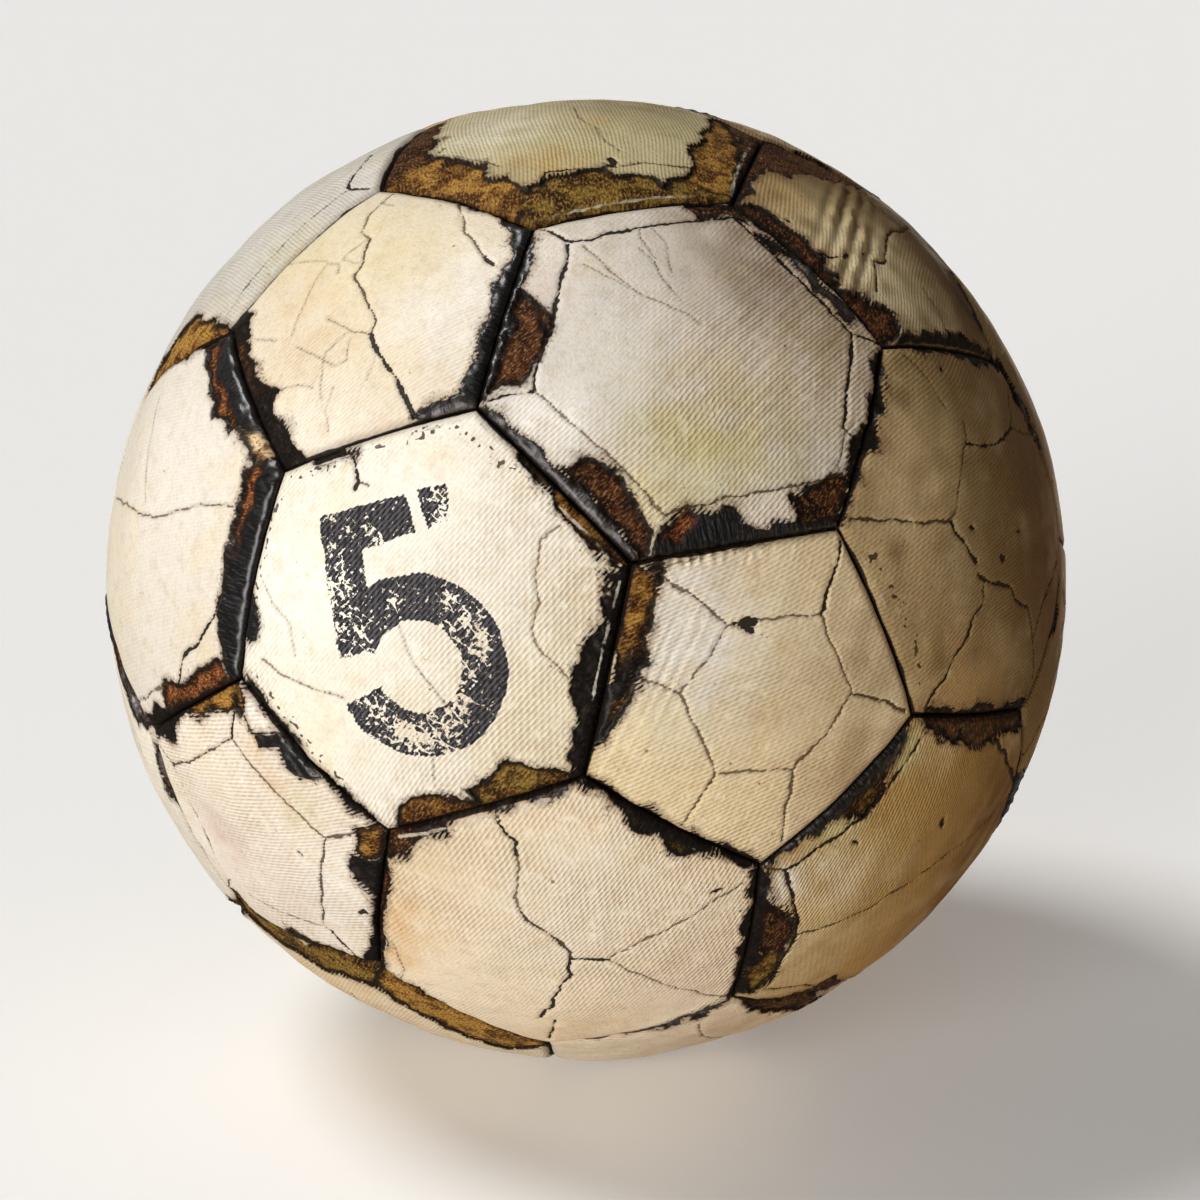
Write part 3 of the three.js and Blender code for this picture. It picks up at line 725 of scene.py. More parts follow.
def inventPeels(rng, corners):
    peels = []
    for a, b in zip(corners, np.roll(corners, -1, axis=0)):
        along = (b - a) / np.linalg.norm(b - a)
        inward = -(a + b) / np.linalg.norm(a + b)
        for patch in range(int(rng.integers(*invented["patches"]))):
            middle = (a + b) / 2 + along * rng.uniform(-0.4, 0.4) * np.linalg.norm(b - a)
            half = rng.uniform(*invented["patchHalf"])
            depth = rng.uniform(*invented["patchDepth"]) * rng.choice([0.6, 1.0, 1.5])
            top = str(rng.choice(invented["layers"]))
            deeper = str(rng.choice(invented["deeperLayers"]))
            for layer, share in ((top, 1.0), (deeper, 0.45)):
                steps = rng.uniform(0.45, 1.1, 7) * depth * share
                outline = [middle - along * half - inward * 3]
                for step, place in zip(steps, (-0.9, -0.6, -0.3, 0.0, 0.3, 0.6, 0.9)):
                    outline.append(middle + along * half * place + inward * step * (1 - 0.6 * place ** 2))
                outline.append(middle + along * half - inward * 3)
                peels.append((layer, [tuple(point) for point in outline]))
    return peels


def inventWear(name, corners):
    # Wear in the same manner for a panel whose own isn't given.
    rng = np.random.default_rng(sum(map(ord, name)))
    reach = np.linalg.norm(corners[0])
    coat = str(rng.choice(invented["coats"]))
    given = {
        "coat": invented["shadedCoats"].get(name, coat),
        "ribs": (rng.uniform(-70, 70), rng.uniform(0.5, 0.95), [(*rng.uniform(-24, 24, 2), 16)]),
        "cracks": inventCracks(rng, reach),
        "peels": inventPeels(rng, corners),
        "tints": [(str(rng.choice(invented["tints"])), *rng.uniform(-28, 28, 2), rng.uniform(6, 18),
                    rng.uniform(0.2, 0.55)) for _ in range(8)],
        "lips": [],
        "dots": [],
    }
    for a, b in zip(corners, np.roll(corners, -1, axis=0)):
        inward = -(a + b) / np.linalg.norm(a + b)
        low, high = sorted(rng.uniform(0.05, 0.95, 2))
        stretch = [a + (b - a) * share for share in (low, high)]
        kind = rng.uniform()
        if kind < 0.25:
            given["lips"].append((rng.uniform(0.3, 0.7), [tuple(point + inward) for point in stretch]))
        elif kind < 0.6:
            given["dots"].append([tuple(point + 2.6 * inward) for point in stretch])
    if rng.uniform() < 0.3:
        given["wrinkles"] = [(*rng.uniform(-14, 14, 2), rng.uniform(0, 180), rng.uniform(26, 46),
                              rng.uniform(10, 16), rng.uniform(2.4, 4.2), rng.uniform(0.15, 0.35))]
    return given


# The surface's relief, in millimetres.
relief = {
    "farOff": 9.0,              # stands for a distance too great to matter
    "sway": 0.17,               # outlines drift by this
    "jolt": 0.07,               # and by this over short stretches
    "raggedSway": 3.0,          # peeled edges do both more
    "raggedJolt": 2.4,
    "layerFade": 0.45,          # over which one bare layer turns into the next
    "smoothed": 0.95,
    "crown": 0.16,
    "dimples": 0.05,
    "sharpest": 0.985,          # how far down the rolled edge's quarter round goes
    "bareEdge": (0.25, 0.6),    # where the coat starts to fall away, and over what width
    "curl": (0.13, 0.65, 0.5),  # height, distance and width of the coat's raised edge
    "bareBumps": 0.08,
    "glossBumps": 0.05,
    "crackDepth": (0.06, 0.24),     # of a hairline, and how much more of a wide crack
    "crackHalf": 0.16,
    "crackLip": (0.06, 0.6, 0.4),   # height, distance and width
    "rimDepth": 0.45,
    "rimHalf": 0.5,
}


def readPlaces(ways, plan):
    # Where each point lies on its panel and from its sides, from its direction.
    places = ways * ball["radius"]
    onBall = places @ plan["axes"].T
    sway = np.stack([ripple(onBall, 6, 11), ripple(onBall, 6, 12)], 1) * relief["sway"]
    jolt = np.stack([ripple(onBall, 1.6, 13), ripple(onBall, 1.6, 14)], 1) * relief["jolt"]
    fromSides = np.arcsin(np.clip(ways @ plan["sideNormals"].T, -1, 1)) * ball["radius"]
    side = fromSides.argmin(1)
    return {
        "flat": places[:, :2], "onBall": onBall, "sway": sway, "bent": places[:, :2] + sway + jolt,
        "ragged": places[:, :2] + relief["raggedSway"] * sway + relief["raggedJolt"] * jolt,
        "seam": fromSides.min(1), "alongSide": (places * plan["sideWays"][side]).sum(1) + 100 * side,
    }


def readCracks(at, cracks):
    # The distance from the nearest crack's edge, and how deep that crack is, from 0 to 1.
    uneven = 1 + 0.28 * ripple(at["onBall"], 5, 17) + 0.2 * ripple(at["onBall"], 1.5, 27)
    crack = np.full(len(uneven), relief["farOff"])
    depth = np.zeros(len(uneven))
    for width, path in cracks:
        near = nearby(at["bent"], path)
        away = pathDistance(at["bent"][near], path) - width / 2 * uneven[near]
        depth[near] = np.where(away < crack[near], np.clip((width - 0.1) / 0.5, 0.1, 1), depth[near])
        crack[near] = np.minimum(crack[near], away)
    return crack, depth


def readPeels(at, peels):
    # The distance from the nearest peeled patch, and the colour, gloss and lift of what is bare there.
    count = len(at["seam"])
    peel = np.full(count, relief["farOff"])
    weights = np.full(count, 1e-6)
    under = np.zeros((count, 3)) + 1e-6 * np.array(layers["bark"][0])
    gloss = np.zeros(count)
    lift = np.zeros(count)
    for layer, outline in peels:
        colour, shine, stand = layers[layer]
        near = nearby(at["ragged"], outline)
        away = patchDistance(at["ragged"][near], outline)
        share = np.exp(-np.clip(away, -6, 6) / relief["layerFade"])
        weights[near] += share
        under[near] += share[:, None] * colour
        gloss[near] += share * shine
        lift[near] += share * stand
        peel[near] = np.minimum(peel[near], away)
    return peel, under / weights[:, None], gloss / weights, lift / weights


def readTint(at, given):
    # The coat's colour, then each tint over it: stains, and on some panels painted light and shade.
    tint = np.zeros((len(at["seam"]), 3)) + coats[given["coat"]]
    for colour, x, y, radius, share in given["tints"]:
        covered = blob(at["bent"], x, y, radius) * (1 + 0.25 * ripple(at["onBall"], 7, 18))
        covered = (np.clip(covered, 0, 1) * share)[:, None]
        tint = tint * (1 - covered) + np.array(coats[colour]) * covered
    return tint


def readRibs(at, given):
    # How strong the embossed ribs are, and places across and along them.
    angle, strength, smooth = given["ribs"]
    ribs = np.full(len(at["seam"]), strength) * (1 + 0.15 * ripple(at["onBall"], 18, 19))
    for x, y, radius in smooth:
        ribs *= 1 - relief["smoothed"] * blob(at["bent"], x, y, radius)
    along, across = turned(at["flat"], (0, 0), angle)
    across += 0.5 * ripple(at["onBall"], 40, 21) + 0.05 * ripple(at["onBall"], 9, 20)
    return np.clip(ribs, 0, 1), across, along


def readWrinkles(at, wrinkles):
    height = np.zeros(len(at["seam"]))
    for x, y, tilt, length, width, pitch, high in wrinkles:
        along, across = turned(at["bent"], (x, y), tilt)
        fade = np.exp(-((2 * along / length) ** 4 + (2 * across / width) ** 4))
        wave = np.sin(2 * np.pi * across / pitch + 0.45 * ripple(at["onBall"], 24, 22))
        height += high * fade * (1 + 0.3 * ripple(at["onBall"], 12, 28)) * (wave + 0.35 * wave ** 3)
    return height


def readScuffs(flat):
    scuff = np.zeros(len(flat))
    for x, y, radius, share in numeral["scuffs"]:
        scuff = np.maximum(scuff, share * blob(flat, x, y, radius))
    return scuff


def readLips(at, lips):
    pale = np.full(len(at["seam"]), relief["farOff"])
    uneven = 1 + 0.25 * ripple(at["onBall"], 4, 29)
    for width, path in lips:
        near = nearby(at["flat"], path)
        pale[near] = np.minimum(pale[near], pathDistance(at["flat"][near], path) - width * uneven[near])
    return pale


def readDots(at, rows):
    dots = np.full(len(at["seam"]), relief["farOff"])
    for path in rows:
        near = nearby(at["flat"], path)
        dots[near] = np.minimum(dots[near], pathDistance(at["flat"][near] + 2 * at["sway"][near], path))
    return dots


def surfaceHeight(at, read, lift, wrinkle, rim):
    # How far the surface stands over the ball's own, in millimetres.
    onBall = at["onBall"]
    inner = np.clip(at["seam"] - ball["seamGap"] / 2, 0, None)
    width = ball["rollWidth"] * (1 + 0.12 * ripple(onBall, 8, 23))
    rolled = np.clip(1 - inner / width, 0, relief["sharpest"])
    height = -ball["rollDepth"] * (1 - np.sqrt(1 - rolled ** 2))
    height += relief["crown"] * ripple(onBall, 26, 24) + relief["dimples"] * ripple(onBall, 9, 25) + wrinkle

    start, over = relief["bareEdge"]
    bare = np.clip((start - read["peel"]) / over, 0, 1)
    bare = bare * bare * (3 - 2 * bare)
    height += bare * lift + swell(read["peel"], *relief["curl"])
    height += bare * (relief["bareBumps"] + relief["glossBumps"] * read["gloss"]) * ripple(onBall, 2.2, 26)

    shallow, deeper = relief["crackDepth"]
    height -= swell(np.clip(read["crack"], 0, None), shallow + deeper * read["depth"], 0, relief["crackHalf"])
    lipHigh, lipAway, lipWide = relief["crackLip"]
    height += swell(read["crack"], lipHigh * read["depth"], lipAway, lipWide)
    return height - swell(rim, relief["rimDepth"], 0, relief["rimHalf"])


def readSurface(ways, plan):
    # Everything that depends on where a point lies on its panel.
    given = plan["wear"]
    at = readPlaces(ways, plan)
    farOff = np.full(len(ways), relief["farOff"])
    crack, depth = readCracks(at, given["cracks"])
    rim = farOff
    if plan["name"] == "valve_panel":
        rim = np.linalg.norm(at["flat"], axis=1) - ball["valveHole"]
        crack = np.minimum(crack, rim - 0.2)
    peel, under, gloss, lift = readPeels(at, given["peels"])
    ribs, across, along = readRibs(at, given)
    numbered = plan["name"] == "number_panel"
    level = np.zeros(len(ways))
    read = {
        "seam": at["seam"], "crack": crack, "depth": depth, "peel": peel, "gloss": gloss, "ribs": ribs,
        "paint": numeralDistance(at["bent"]) if numbered else farOff,
        "scuff": readScuffs(at["bent"]) if numbered else level,
        "pale": readLips(at, given.get("lips", [])), "dots": readDots(at, given.get("dots", [])),
        "under": under, "coatTint": readTint(at, given),
        "ribPlace": np.stack([across, along, level], 1),
        "sidePlace": np.stack([at["alongSide"], at["seam"], level], 1),
    }
    read["height"] = surfaceHeight(at, read, lift, readWrinkles(at, given.get("wrinkles", [])), rim)
    return read


def directions(panel):
    places = np.array([vert.co[:] for vert in panel.verts])
    return places / np.linalg.norm(places, axis=1)[:, None]


def border(panel):
    return [edge for edge in panel.edges if len(edge.link_faces) == 1]


def deepen(panel, edges, place):
    # Carries the open border on to a new ring of points.
    made = bmesh.ops.extrude_edge_only(panel, edges=edges)["geom"]
    for vert in (item for item in made if isinstance(item, bmesh.types.BMVert)):
        vert.co = place(vert.co)
    return [item for item in made if isinstance(item, bmesh.types.BMEdge)]


def cutPanel(pattern, index):
    panel = pattern.copy()
    panel.faces.ensure_lookup_table()
    face = panel.faces[index]
    outward = face.calc_center_median().normalized()
    axes = axesFor(outward)
    bmesh.ops.delete(panel, geom=[other for other in panel.faces if other is not face], context="FACES")
    bmesh.ops.transform(panel, matrix=axes.transposed().to_4x4(), verts=panel.verts)
    face = panel.faces[:][0]
    face.normal_update()
    if face.normal.z < 0:
        bmesh.ops.reverse_faces(panel, faces=[face])
    corners = np.array([vert.co[:] for vert in face.verts])
    nexts = np.roll(corners, -1, axis=0)
    normals = np.cross(corners, nexts)
    normals /= np.linalg.norm(normals, axis=1)[:, None]
    normals *= np.sign(normals[:, 2:3])
    name = nameOf(outward)
    plan = {
        "name": name,
        "axes": np.array(axes),
        "sideNormals": normals,
        "sideWays": (nexts - corners) / np.linalg.norm(nexts - corners, axis=1)[:, None],
        "wear": wear.get(name) or inventWear(name, corners[:, :2]),
    }
    # The side walls stand half a seam gap inside the sides.
    middle = (corners[0] + corners[1]) / 2
    sideAngle = math.atan2(np.linalg.norm(middle[:2]), middle[2])
    wallAngle = sideAngle - math.asin(ball["seamGap"] / 2 / ball["radius"])
    shrink = math.tan(wallAngle) / math.tan(sideAngle)
    bmesh.ops.scale(panel, vec=(shrink, shrink, 1), verts=panel.verts)
    bmesh.ops.poke(panel, faces=panel.faces[:])
    bmesh.ops.subdivide_edges(panel, edges=panel.edges[:], cuts=ball["cuts"], use_grid_fill=True)
    if name == "valve_panel":
        pierce(panel, corners[:, :2] * shrink)
    return panel, plan


def pierce(panel, corners):
    # The rings of the grid turn from the panel's own shape to round towards the hole, and the innermost go.
    middles = (corners + np.roll(corners, -1, axis=0)) / 2
    faceOn = middles / np.linalg.norm(middles, axis=1)[:, None]
    # On the flat panel, before it is domed, the hole is smaller.
    hole = ball["valveHole"] * panel.verts[:][0].co.z / ball["radius"]
    ringStep = np.linalg.norm(corners[0]) / (ball["cuts"] + 1)
    squareness = np.linalg.norm(corners[0]) / np.linalg.norm(middles[0])
    holeRing = round(hole / ringStep)
    inner = []
    for vert in panel.verts:
        flat = np.array(vert.co[:2])
        ring = (faceOn @ flat).max() * squareness / ringStep
        far = np.linalg.norm(flat)
        if ring < holeRing - 0.5:
            inner.append(vert)
        elif ring < 3 * holeRing:
            kept = (ring / holeRing - 1) / 2
            wanted = (ring * hole / holeRing) * (1 - kept) + far * kept
            vert.co.x *= wanted / far
            vert.co.y *= wanted / far
    bmesh.ops.delete(panel, geom=inner, context="VERTS")


def refine(panel, plan):
    read = readSurface(directions(panel), plan)
    nearest = np.min([abs(read[name]) for name in ("crack", "peel", "paint", "pale")], axis=0)
    near = nearest < ball["fineReach"]
    panel.verts.index_update()
    edges = [edge for edge in panel.edges if near[edge.verts[0].index] and near[edge.verts[1].index]]
    bmesh.ops.subdivide_edges(panel, edges=edges, cuts=ball["fineCuts"], use_grid_fill=True)
    bmesh.ops.triangulate(panel, faces=panel.faces[:])


def closeUnder(panel):
    # The seam allowance turned in under the panel, and its inner side.
    foot, thick, inside = ball["flangeFoot"], ball["flangeThickness"], ball["inside"]

    def inwards(co, step):
        flat = Vector((co.x, co.y, 0))
        return (co - flat.normalized() * step).normalized()

    hole = [edge for edge in border(panel) if edge.verts[0].co.xy.length < 2 * ball["valveHole"]]
    ring = [edge for edge in border(panel) if edge not in hole]
    ring = deepen(panel, ring, lambda co: inwards(co, ball["threadRoom"]) * foot)
    ring = deepen(panel, ring, lambda co: inwards(co, thick) * foot)
    ring = deepen(panel, ring, lambda co: co.normalized() * inside)
    ring = deepen(panel, ring, lambda co: Vector((co.x / 2, co.y / 2, inside)))
    if hole:
        hole = deepen(panel, hole, lambda co: Vector((co.x, co.y, inside)))
        bmesh.ops.bridge_loops(panel, edges=ring + hole)
        bmesh.ops.triangulate(panel, faces=[face for face in panel.faces if len(face.verts) > 4])
    else:
        bmesh.ops.holes_fill(panel, edges=ring, sides=0)
    bmesh.ops.recalc_face_normals(panel, faces=panel.faces)


def storeValues(mesh, name, values):
    kind = "FLOAT_COLOR" if name in ("under", "coatTint") else "FLOAT_VECTOR"
    if values.ndim == 1:
        kind = "FLOAT"
    layer = mesh.attributes.new(name, kind, "POINT")
    if kind == "FLOAT":
        layer.data.foreach_set("value", values.astype(np.float32))
    elif kind == "FLOAT_VECTOR":
        layer.data.foreach_set("vector", values.astype(np.float32).ravel())
    else:
        full = np.concatenate([values, np.ones((len(values), 1))], 1)
        layer.data.foreach_set("color", full.astype(np.float32).ravel())


def makePanel(pattern, index, material):
    panel, plan = cutPanel(pattern, index)
    refine(panel, plan)
    ways = directions(panel)
    read = readSurface(ways, plan)
    places = ways * (ball["radius"] + read["height"])[:, None]
    for vert, place in zip(panel.verts, places):
        vert.co = place
    closeUnder(panel)
    mesh = bpy.data.meshes.new("worn_" + plan["name"])
    panel.to_mesh(mesh)
    panel.free()
    places = np.empty(len(mesh.vertices) * 3)
    mesh.vertices.foreach_get("co", places)
    places = places.reshape(-1, 3)
    reach = np.linalg.norm(places, axis=1)
    read = readSurface(places / reach[:, None], plan)
    # Below the lips all is as dark as the seam.
    read["seam"] = np.where(reach < ball["radius"] - 1.25 * ball["rollDepth"], 0, read["seam"])
    for name, values in read.items():
        if name != "height":
            storeValues(mesh, name, values)
    mesh.transform((Matrix(plan["axes"]) * mm).to_4x4())
    mesh.shade_smooth()
    piece = bpy.data.objects.new("worn_" + plan["name"], mesh)
    bpy.context.collection.objects.link(piece)
    piece.data.materials.append(material)
    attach(piece, "root")
    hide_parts(plan["name"])
    return piece


def startMaterial(name):
    material = bpy.data.materials.new(name)
    material.use_nodes = True
    tree = material.node_tree
    tree.nodes.clear()
    return material, tree


def add(tree, kind, inputs=None, **settings):
    node = tree.nodes.new("ShaderNode" + kind)
    for name, value in settings.items():
        setattr(node, name, value)
    for name, value in (inputs or {}).items():
        if isinstance(value, bpy.types.NodeSocket):
            tree.links.new(value, node.inputs[name])
        else:
            node.inputs[name].default_value = value
    return node


def maths(tree, operation, *values):
    return add(tree, "Math", dict(enumerate(values)), operation=operation).outputs[0]


def noise(tree, place, size, detail=2.0, roughness=0.5):
    inputs = {"Vector": place, "Scale": 1 / size, "Detail": detail, "Roughness": roughness}
    return add(tree, "TexNoise", inputs).outputs["Fac"]


def between(tree, value, low, high):
    # 0 below the first bound and 1 above the second, or the other way round.
    inputs = {"Value": value, "From Min": low, "From Max": high}
    return add(tree, "MapRange", inputs, interpolation_type="SMOOTHSTEP").outputs[0]


def blend(tree, share, first, second, way="MIX"):
    node = add(tree, "Mix", data_type="RGBA", blend_type=way)
    for socket, value in ((node.inputs[0], share), (node.inputs[6], first), (node.inputs[7], second)):
        if isinstance(value, bpy.types.NodeSocket):
            tree.links.new(value, socket)
        elif isinstance(value, tuple):
            socket.default_value = (*value, 1)
        else:
            socket.default_value = value
    return node.outputs[2]


def stored(tree, name, output="Fac"):
    return add(tree, "Attribute", attribute_name=name).outputs[output]


finish = {
    "ribPitch": 0.87,          # millimetres
    "crossPitch": 1.8,
    "weaveLean": 0.84,         # how far the wider ribs lean from the close ones
    "ribHeight": 0.14,
    "grainHeight": 0.03,
    "ink": (0.010, 0.009, 0.011),
    "inkWornAndSheen": (0.095, 0.088, 0.098),
    "hairline": (0.20, 0.095, 0.036),
    "grime": (0.008, 0.0045, 0.0028),
    "burn": (0.045, 0.020, 0.009),
    "scorch": (0.16, 0.085, 0.035),
    "speck": (0.20, 0.11, 0.05),
    "yellowed": (0.80, 0.68, 0.44),
    "fibre": (0.66, 0.36, 0.13),
    "palest": (0.56, 0.50, 0.43),
    "dullest": (0.20, 0.165, 0.145),
    "coatRoughness": 0.5,
    "varnishRoughness": 0.3,
}

# Colours that dirt and painted shade multiply the surface by: the rib valleys and the sides of seams are
# darkened with painted shade.
shades = {
    "blotch": (0.70, 0.52, 0.31),
    "ribDirtAndShade": (0.55, 0.40, 0.25),
    "soil": (0.55, 0.42, 0.28),
    "clot": (0.30, 0.20, 0.13),
    "broadClot": (0.28, 0.17, 0.10),
    "pit": (0.22, 0.13, 0.08),
    "ribValleyShade": (0.26, 0.17, 0.11),
    "seamShade": (0.30, 0.19, 0.12),
}

# Noises that several layers share: size in millimetres, detail, roughness.
grains = {
    "broad": (16, 3, 0.5),
    "middle": (3.2, 4, 0.6),
    "fine": (0.9, 3, 0.6),
    "dust": (0.35, 0, 0.5),
}


def part(tree, share, amount):
    return maths(tree, "MULTIPLY", share, amount)


def shifted(tree, value, by, amount):
    # The value moved up or down by a noise around a half.
    return maths(tree, "ADD", value, maths(tree, "MULTIPLY_ADD", by, amount, -amount / 2))


def stretched(tree, place, scale):
    return add(tree, "Mapping", {"Vector": place, "Scale": scale}).outputs[0]


def mixed(tree, share, first, second):
    return add(tree, "Mix", {0: share, 2: first, 3: second}, data_type="FLOAT").outputs[0]


def inMillimetres(tree):
    place = add(tree, "TexCoord").outputs["Object"]
    return add(tree, "VectorMath", {0: place, "Scale": 1 / mm}, operation="SCALE").outputs[0]


def shade(tree, inputs):
    shader = add(tree, "BsdfPrincipled", inputs)
    tree.links.new(shader.outputs[0], add(tree, "OutputMaterial").inputs[0])


def leatherValues(tree):
    # A panel's stored values, and what several layers share.
    at = {name: stored(tree, name) for name in ("seam", "crack", "depth", "peel", "paint", "scuff", "gloss",
                                                "pale", "dots", "ribs")}
    at.update({name: stored(tree, name, "Vector") for name in ("ribPlace", "sidePlace")})
    at.update({name: stored(tree, name, "Color") for name in ("under", "coatTint")})
    at["place"] = inMillimetres(tree)
    for name, (size, detail, roughness) in grains.items():
        at[name] = noise(tree, at["place"], size, detail, roughness)
    at["wobble"] = maths(tree, "MULTIPLY_ADD", at["middle"], 1.6, -0.8)
    at["streaked"] = stretched(tree, at["ribPlace"], (1.0, 0.45, 1.0))
    at["fibres"] = noise(tree, at["streaked"], 0.5, 2, 0.7)
    return at


def addWeave(tree, at):
    # An embossed weave: close ribs crossed by wider ones, broken up in places.
    parts = add(tree, "SeparateXYZ", {0: at["ribPlace"]})
    across = shifted(tree, parts.outputs[0], noise(tree, at["place"], 6, 1), 0.4)
    slant = maths(tree, "MULTIPLY_ADD", parts.outputs[1], -finish["weaveLean"], across)
    close = maths(tree, "SINE", part(tree, across, 2 * math.pi / finish["ribPitch"]))
    crossed = maths(tree, "SINE", part(tree, slant, 2 * math.pi / finish["crossPitch"]))
    broken = between(tree, noise(tree, at["place"], 2.6, 1), 0.15, 0.5)
    at["ridge"] = between(tree, maths(tree, "MULTIPLY_ADD", crossed, 0.45, close), -1.1, 0.7)
    at["embossed"] = part(tree, broken, at["ribs"])
    at["valley"] = part(tree, maths(tree, "SUBTRACT", 1.0, at["ridge"]), at["embossed"])


def dulled(tree, colour, dirt):
    # The colour under one shade after another, each (where, share, shade).
    for where, share, name in dirt:
        colour = blend(tree, part(tree, where, share), colour, shades[name], "MULTIPLY")
    return colour


def coatColour(tree, at):
    # The coat's own tint, with blotches, dirt and painted shade in the rib valleys, and specks.
    old = part(tree, between(tree, at["broad"], 0.5, 0.72), 0.3)
    coat = blend(tree, old, at["coatTint"], finish["yellowed"])
    coat = dulled(tree, coat, [(between(tree, at["middle"], 0.45, 0.75), 0.28, "blotch"),
                               (at["valley"], 0.6, "ribDirtAndShade"),
                               (between(tree, at["fine"], 0.42, 0.7), 0.18, "soil")])
    spots = add(tree, "TexVoronoi", {"Vector": at["place"], "Scale": 0.34, "Randomness": 1.0})
    outline = shifted(tree, spots.outputs["Distance"], at["dust"], 0.12)
    size = maths(tree, "MULTIPLY_ADD", noise(tree, at["place"], 9, 1), 0.7, -0.392)
    speck = between(tree, maths(tree, "SUBTRACT", outline, size), 0.03, -0.01)
    return blend(tree, part(tree, speck, 0.75), coat, finish["speck"])


def scorched(tree, at, coat):
    # Tan halos round cracks, seams and peeled edges, crumbs of burnt leather, and rows of burns.
    nearCrack = between(tree, maths(tree, "MULTIPLY_ADD", at["wobble"], 0.9, at["crack"]), 0.7, 0.0)
    nearSeam = between(tree, maths(tree, "ADD", at["seam"], at["wobble"]), 2.4, 0.7)
    nearPeel = between(tree, maths(tree, "ADD", at["peel"], at["wobble"]), 1.9, 0.1)
    for where, share in ((nearCrack, 0.2), (nearSeam, 0.3), (nearPeel, 0.55)):
        coat = blend(tree, part(tree, where, share), coat, finish["scorch"])
    clumps = between(tree, noise(tree, at["place"], 0.8, 2, 0.65), 0.57, 0.62)
    crumbs = part(tree, clumps, between(tree, at["peel"], 2.4, 0.4))
    coat = blend(tree, part(tree, crumbs, 0.85), coat, finish["burn"])
    burns = between(tree, shifted(tree, at["dots"], noise(tree, at["place"], 1.1, 0), 5.0), -0.2, -0.35)
    return blend(tree, part(tree, burns, 0.9), coat, finish["burn"])


def painted(tree, at, coat):
    # The number's paint, streaked along the ribs and worn through in patches, and paler grey on the rib
    # ridges, which is wear and a painted sheen.
    flecks = noise(tree, at["streaked"], 0.75, 3, 0.6)
    veined = stretched(tree, at["ribPlace"], (0.5, 1.0, 1.0))
    offVein = maths(tree, "ABSOLUTE", maths(tree, "SUBTRACT", noise(tree, veined, 4.0, 2, 0.65), 0.5))
    vein = part(tree, between(tree, offVein, 0.04, 0.0), maths(tree, "MULTIPLY_ADD", at["scuff"], 0.3, 0.05))
    rubbed = shifted(tree, maths(tree, "MULTIPLY_ADD", at["scuff"], 0.16, 0.33), at["middle"], 0.3)
    kept = between(tree, maths(tree, "SUBTRACT", flecks, maths(tree, "ADD", vein, rubbed)), -0.012, 0.012)
    edge = shifted(tree, shifted(tree, at["paint"], at["fine"], 0.4), at["ridge"], 0.2)
    inked = part(tree, between(tree, edge, 0.12, -0.12), kept)
    worn = part(tree, at["ridge"], between(tree, noise(tree, at["place"], 1.4, 2), 0.2, 0.6))
    return blend(tree, inked, coat, blend(tree, worn, finish["ink"], finish["inkWornAndSheen"]))


def bareColour(tree, at):
    # The layers under the coat: dark and clotted, with paler fibres along the ribs, and painted shade in the
    # rib valleys and towards the seams.
    bare = at["under"]
    lightness = between(tree, add(tree, "RGBToBW", {0: bare}).outputs[0], 0.005, 0.07)
    bare = dulled(tree, bare, [
        (between(tree, noise(tree, at["place"], 4.5, 2, 0.6), 0.46, 0.56), 0.78, "clot"),
        (between(tree, noise(tree, at["place"], 9, 3, 0.6), 0.47, 0.58), 0.7, "broadClot")])
    matt = maths(tree, "SUBTRACT", 1.0, at["gloss"])
    strands = part(tree, between(tree, at["fibres"], 0.52, 0.64), matt)
    paler = part(tree, strands, maths(tree, "MULTIPLY_ADD", lightness, 0.42, 0.04))
    bare = blend(tree, paler, bare, finish["fibre"])
    nearSeam = between(tree, maths(tree, "ADD", at["seam"], at["wobble"]), 2.8, 0.6)
    return dulled(tree, bare, [(between(tree, at["fibres"], 0.5, 0.36), 0.85, "pit"),
                               (at["valley"], 0.6, "ribValleyShade"), (nearSeam, 0.45, "seamShade")])


def peeledBack(tree, at, coat, bare):
    # The bare layers' edges follow the ribs in places, with a burnt rim of uneven width.
    serration = part(tree, between(tree, noise(tree, at["place"], 5, 1), 0.42, 0.64), at["embossed"])
    teeth = part(tree, maths(tree, "MULTIPLY_ADD", at["ridge"], 1.5, -0.6), serration)
    ragged = maths(tree, "ADD", shifted(tree, at["peel"], at["fine"], 0.5), teeth)
    at["isBare"] = between(tree, ragged, 0.08, -0.08)
    surface = blend(tree, at["isBare"], coat, bare)
    outside = between(tree, maths(tree, "MULTIPLY_ADD", at["wobble"], 0.4, ragged), 0.6, 0.15)
    inside = between(tree, maths(tree, "ADD", ragged, at["wobble"]), -1.6, -0.35)
    return blend(tree, part(tree, part(tree, outside, inside), 0.94), surface, finish["grime"])


def cracked(tree, at, surface):
    edge = shifted(tree, shifted(tree, at["crack"], at["fine"], 0.35), at["ridge"], 0.13)
    at["inCrack"] = between(tree, edge, 0.05, -0.06)
    tone = blend(tree, at["depth"], finish["hairline"], finish["grime"])
    share = part(tree, at["inCrack"], maths(tree, "MULTIPLY_ADD", at["depth"], 0.5, 0.46))
    return blend(tree, share, surface, tone)


def dirtySeams(tree, at, surface):
    wide = between(tree, noise(tree, at["place"], 11, 2), 0.42, 0.62)
    edge = maths(tree, "MULTIPLY_ADD", wide, -0.4, maths(tree, "MULTIPLY_ADD", at["wobble"], 0.3, at["seam"]))
    return blend(tree, part(tree, between(tree, edge, 0.5, 0.28), 0.95), surface, finish["grime"])


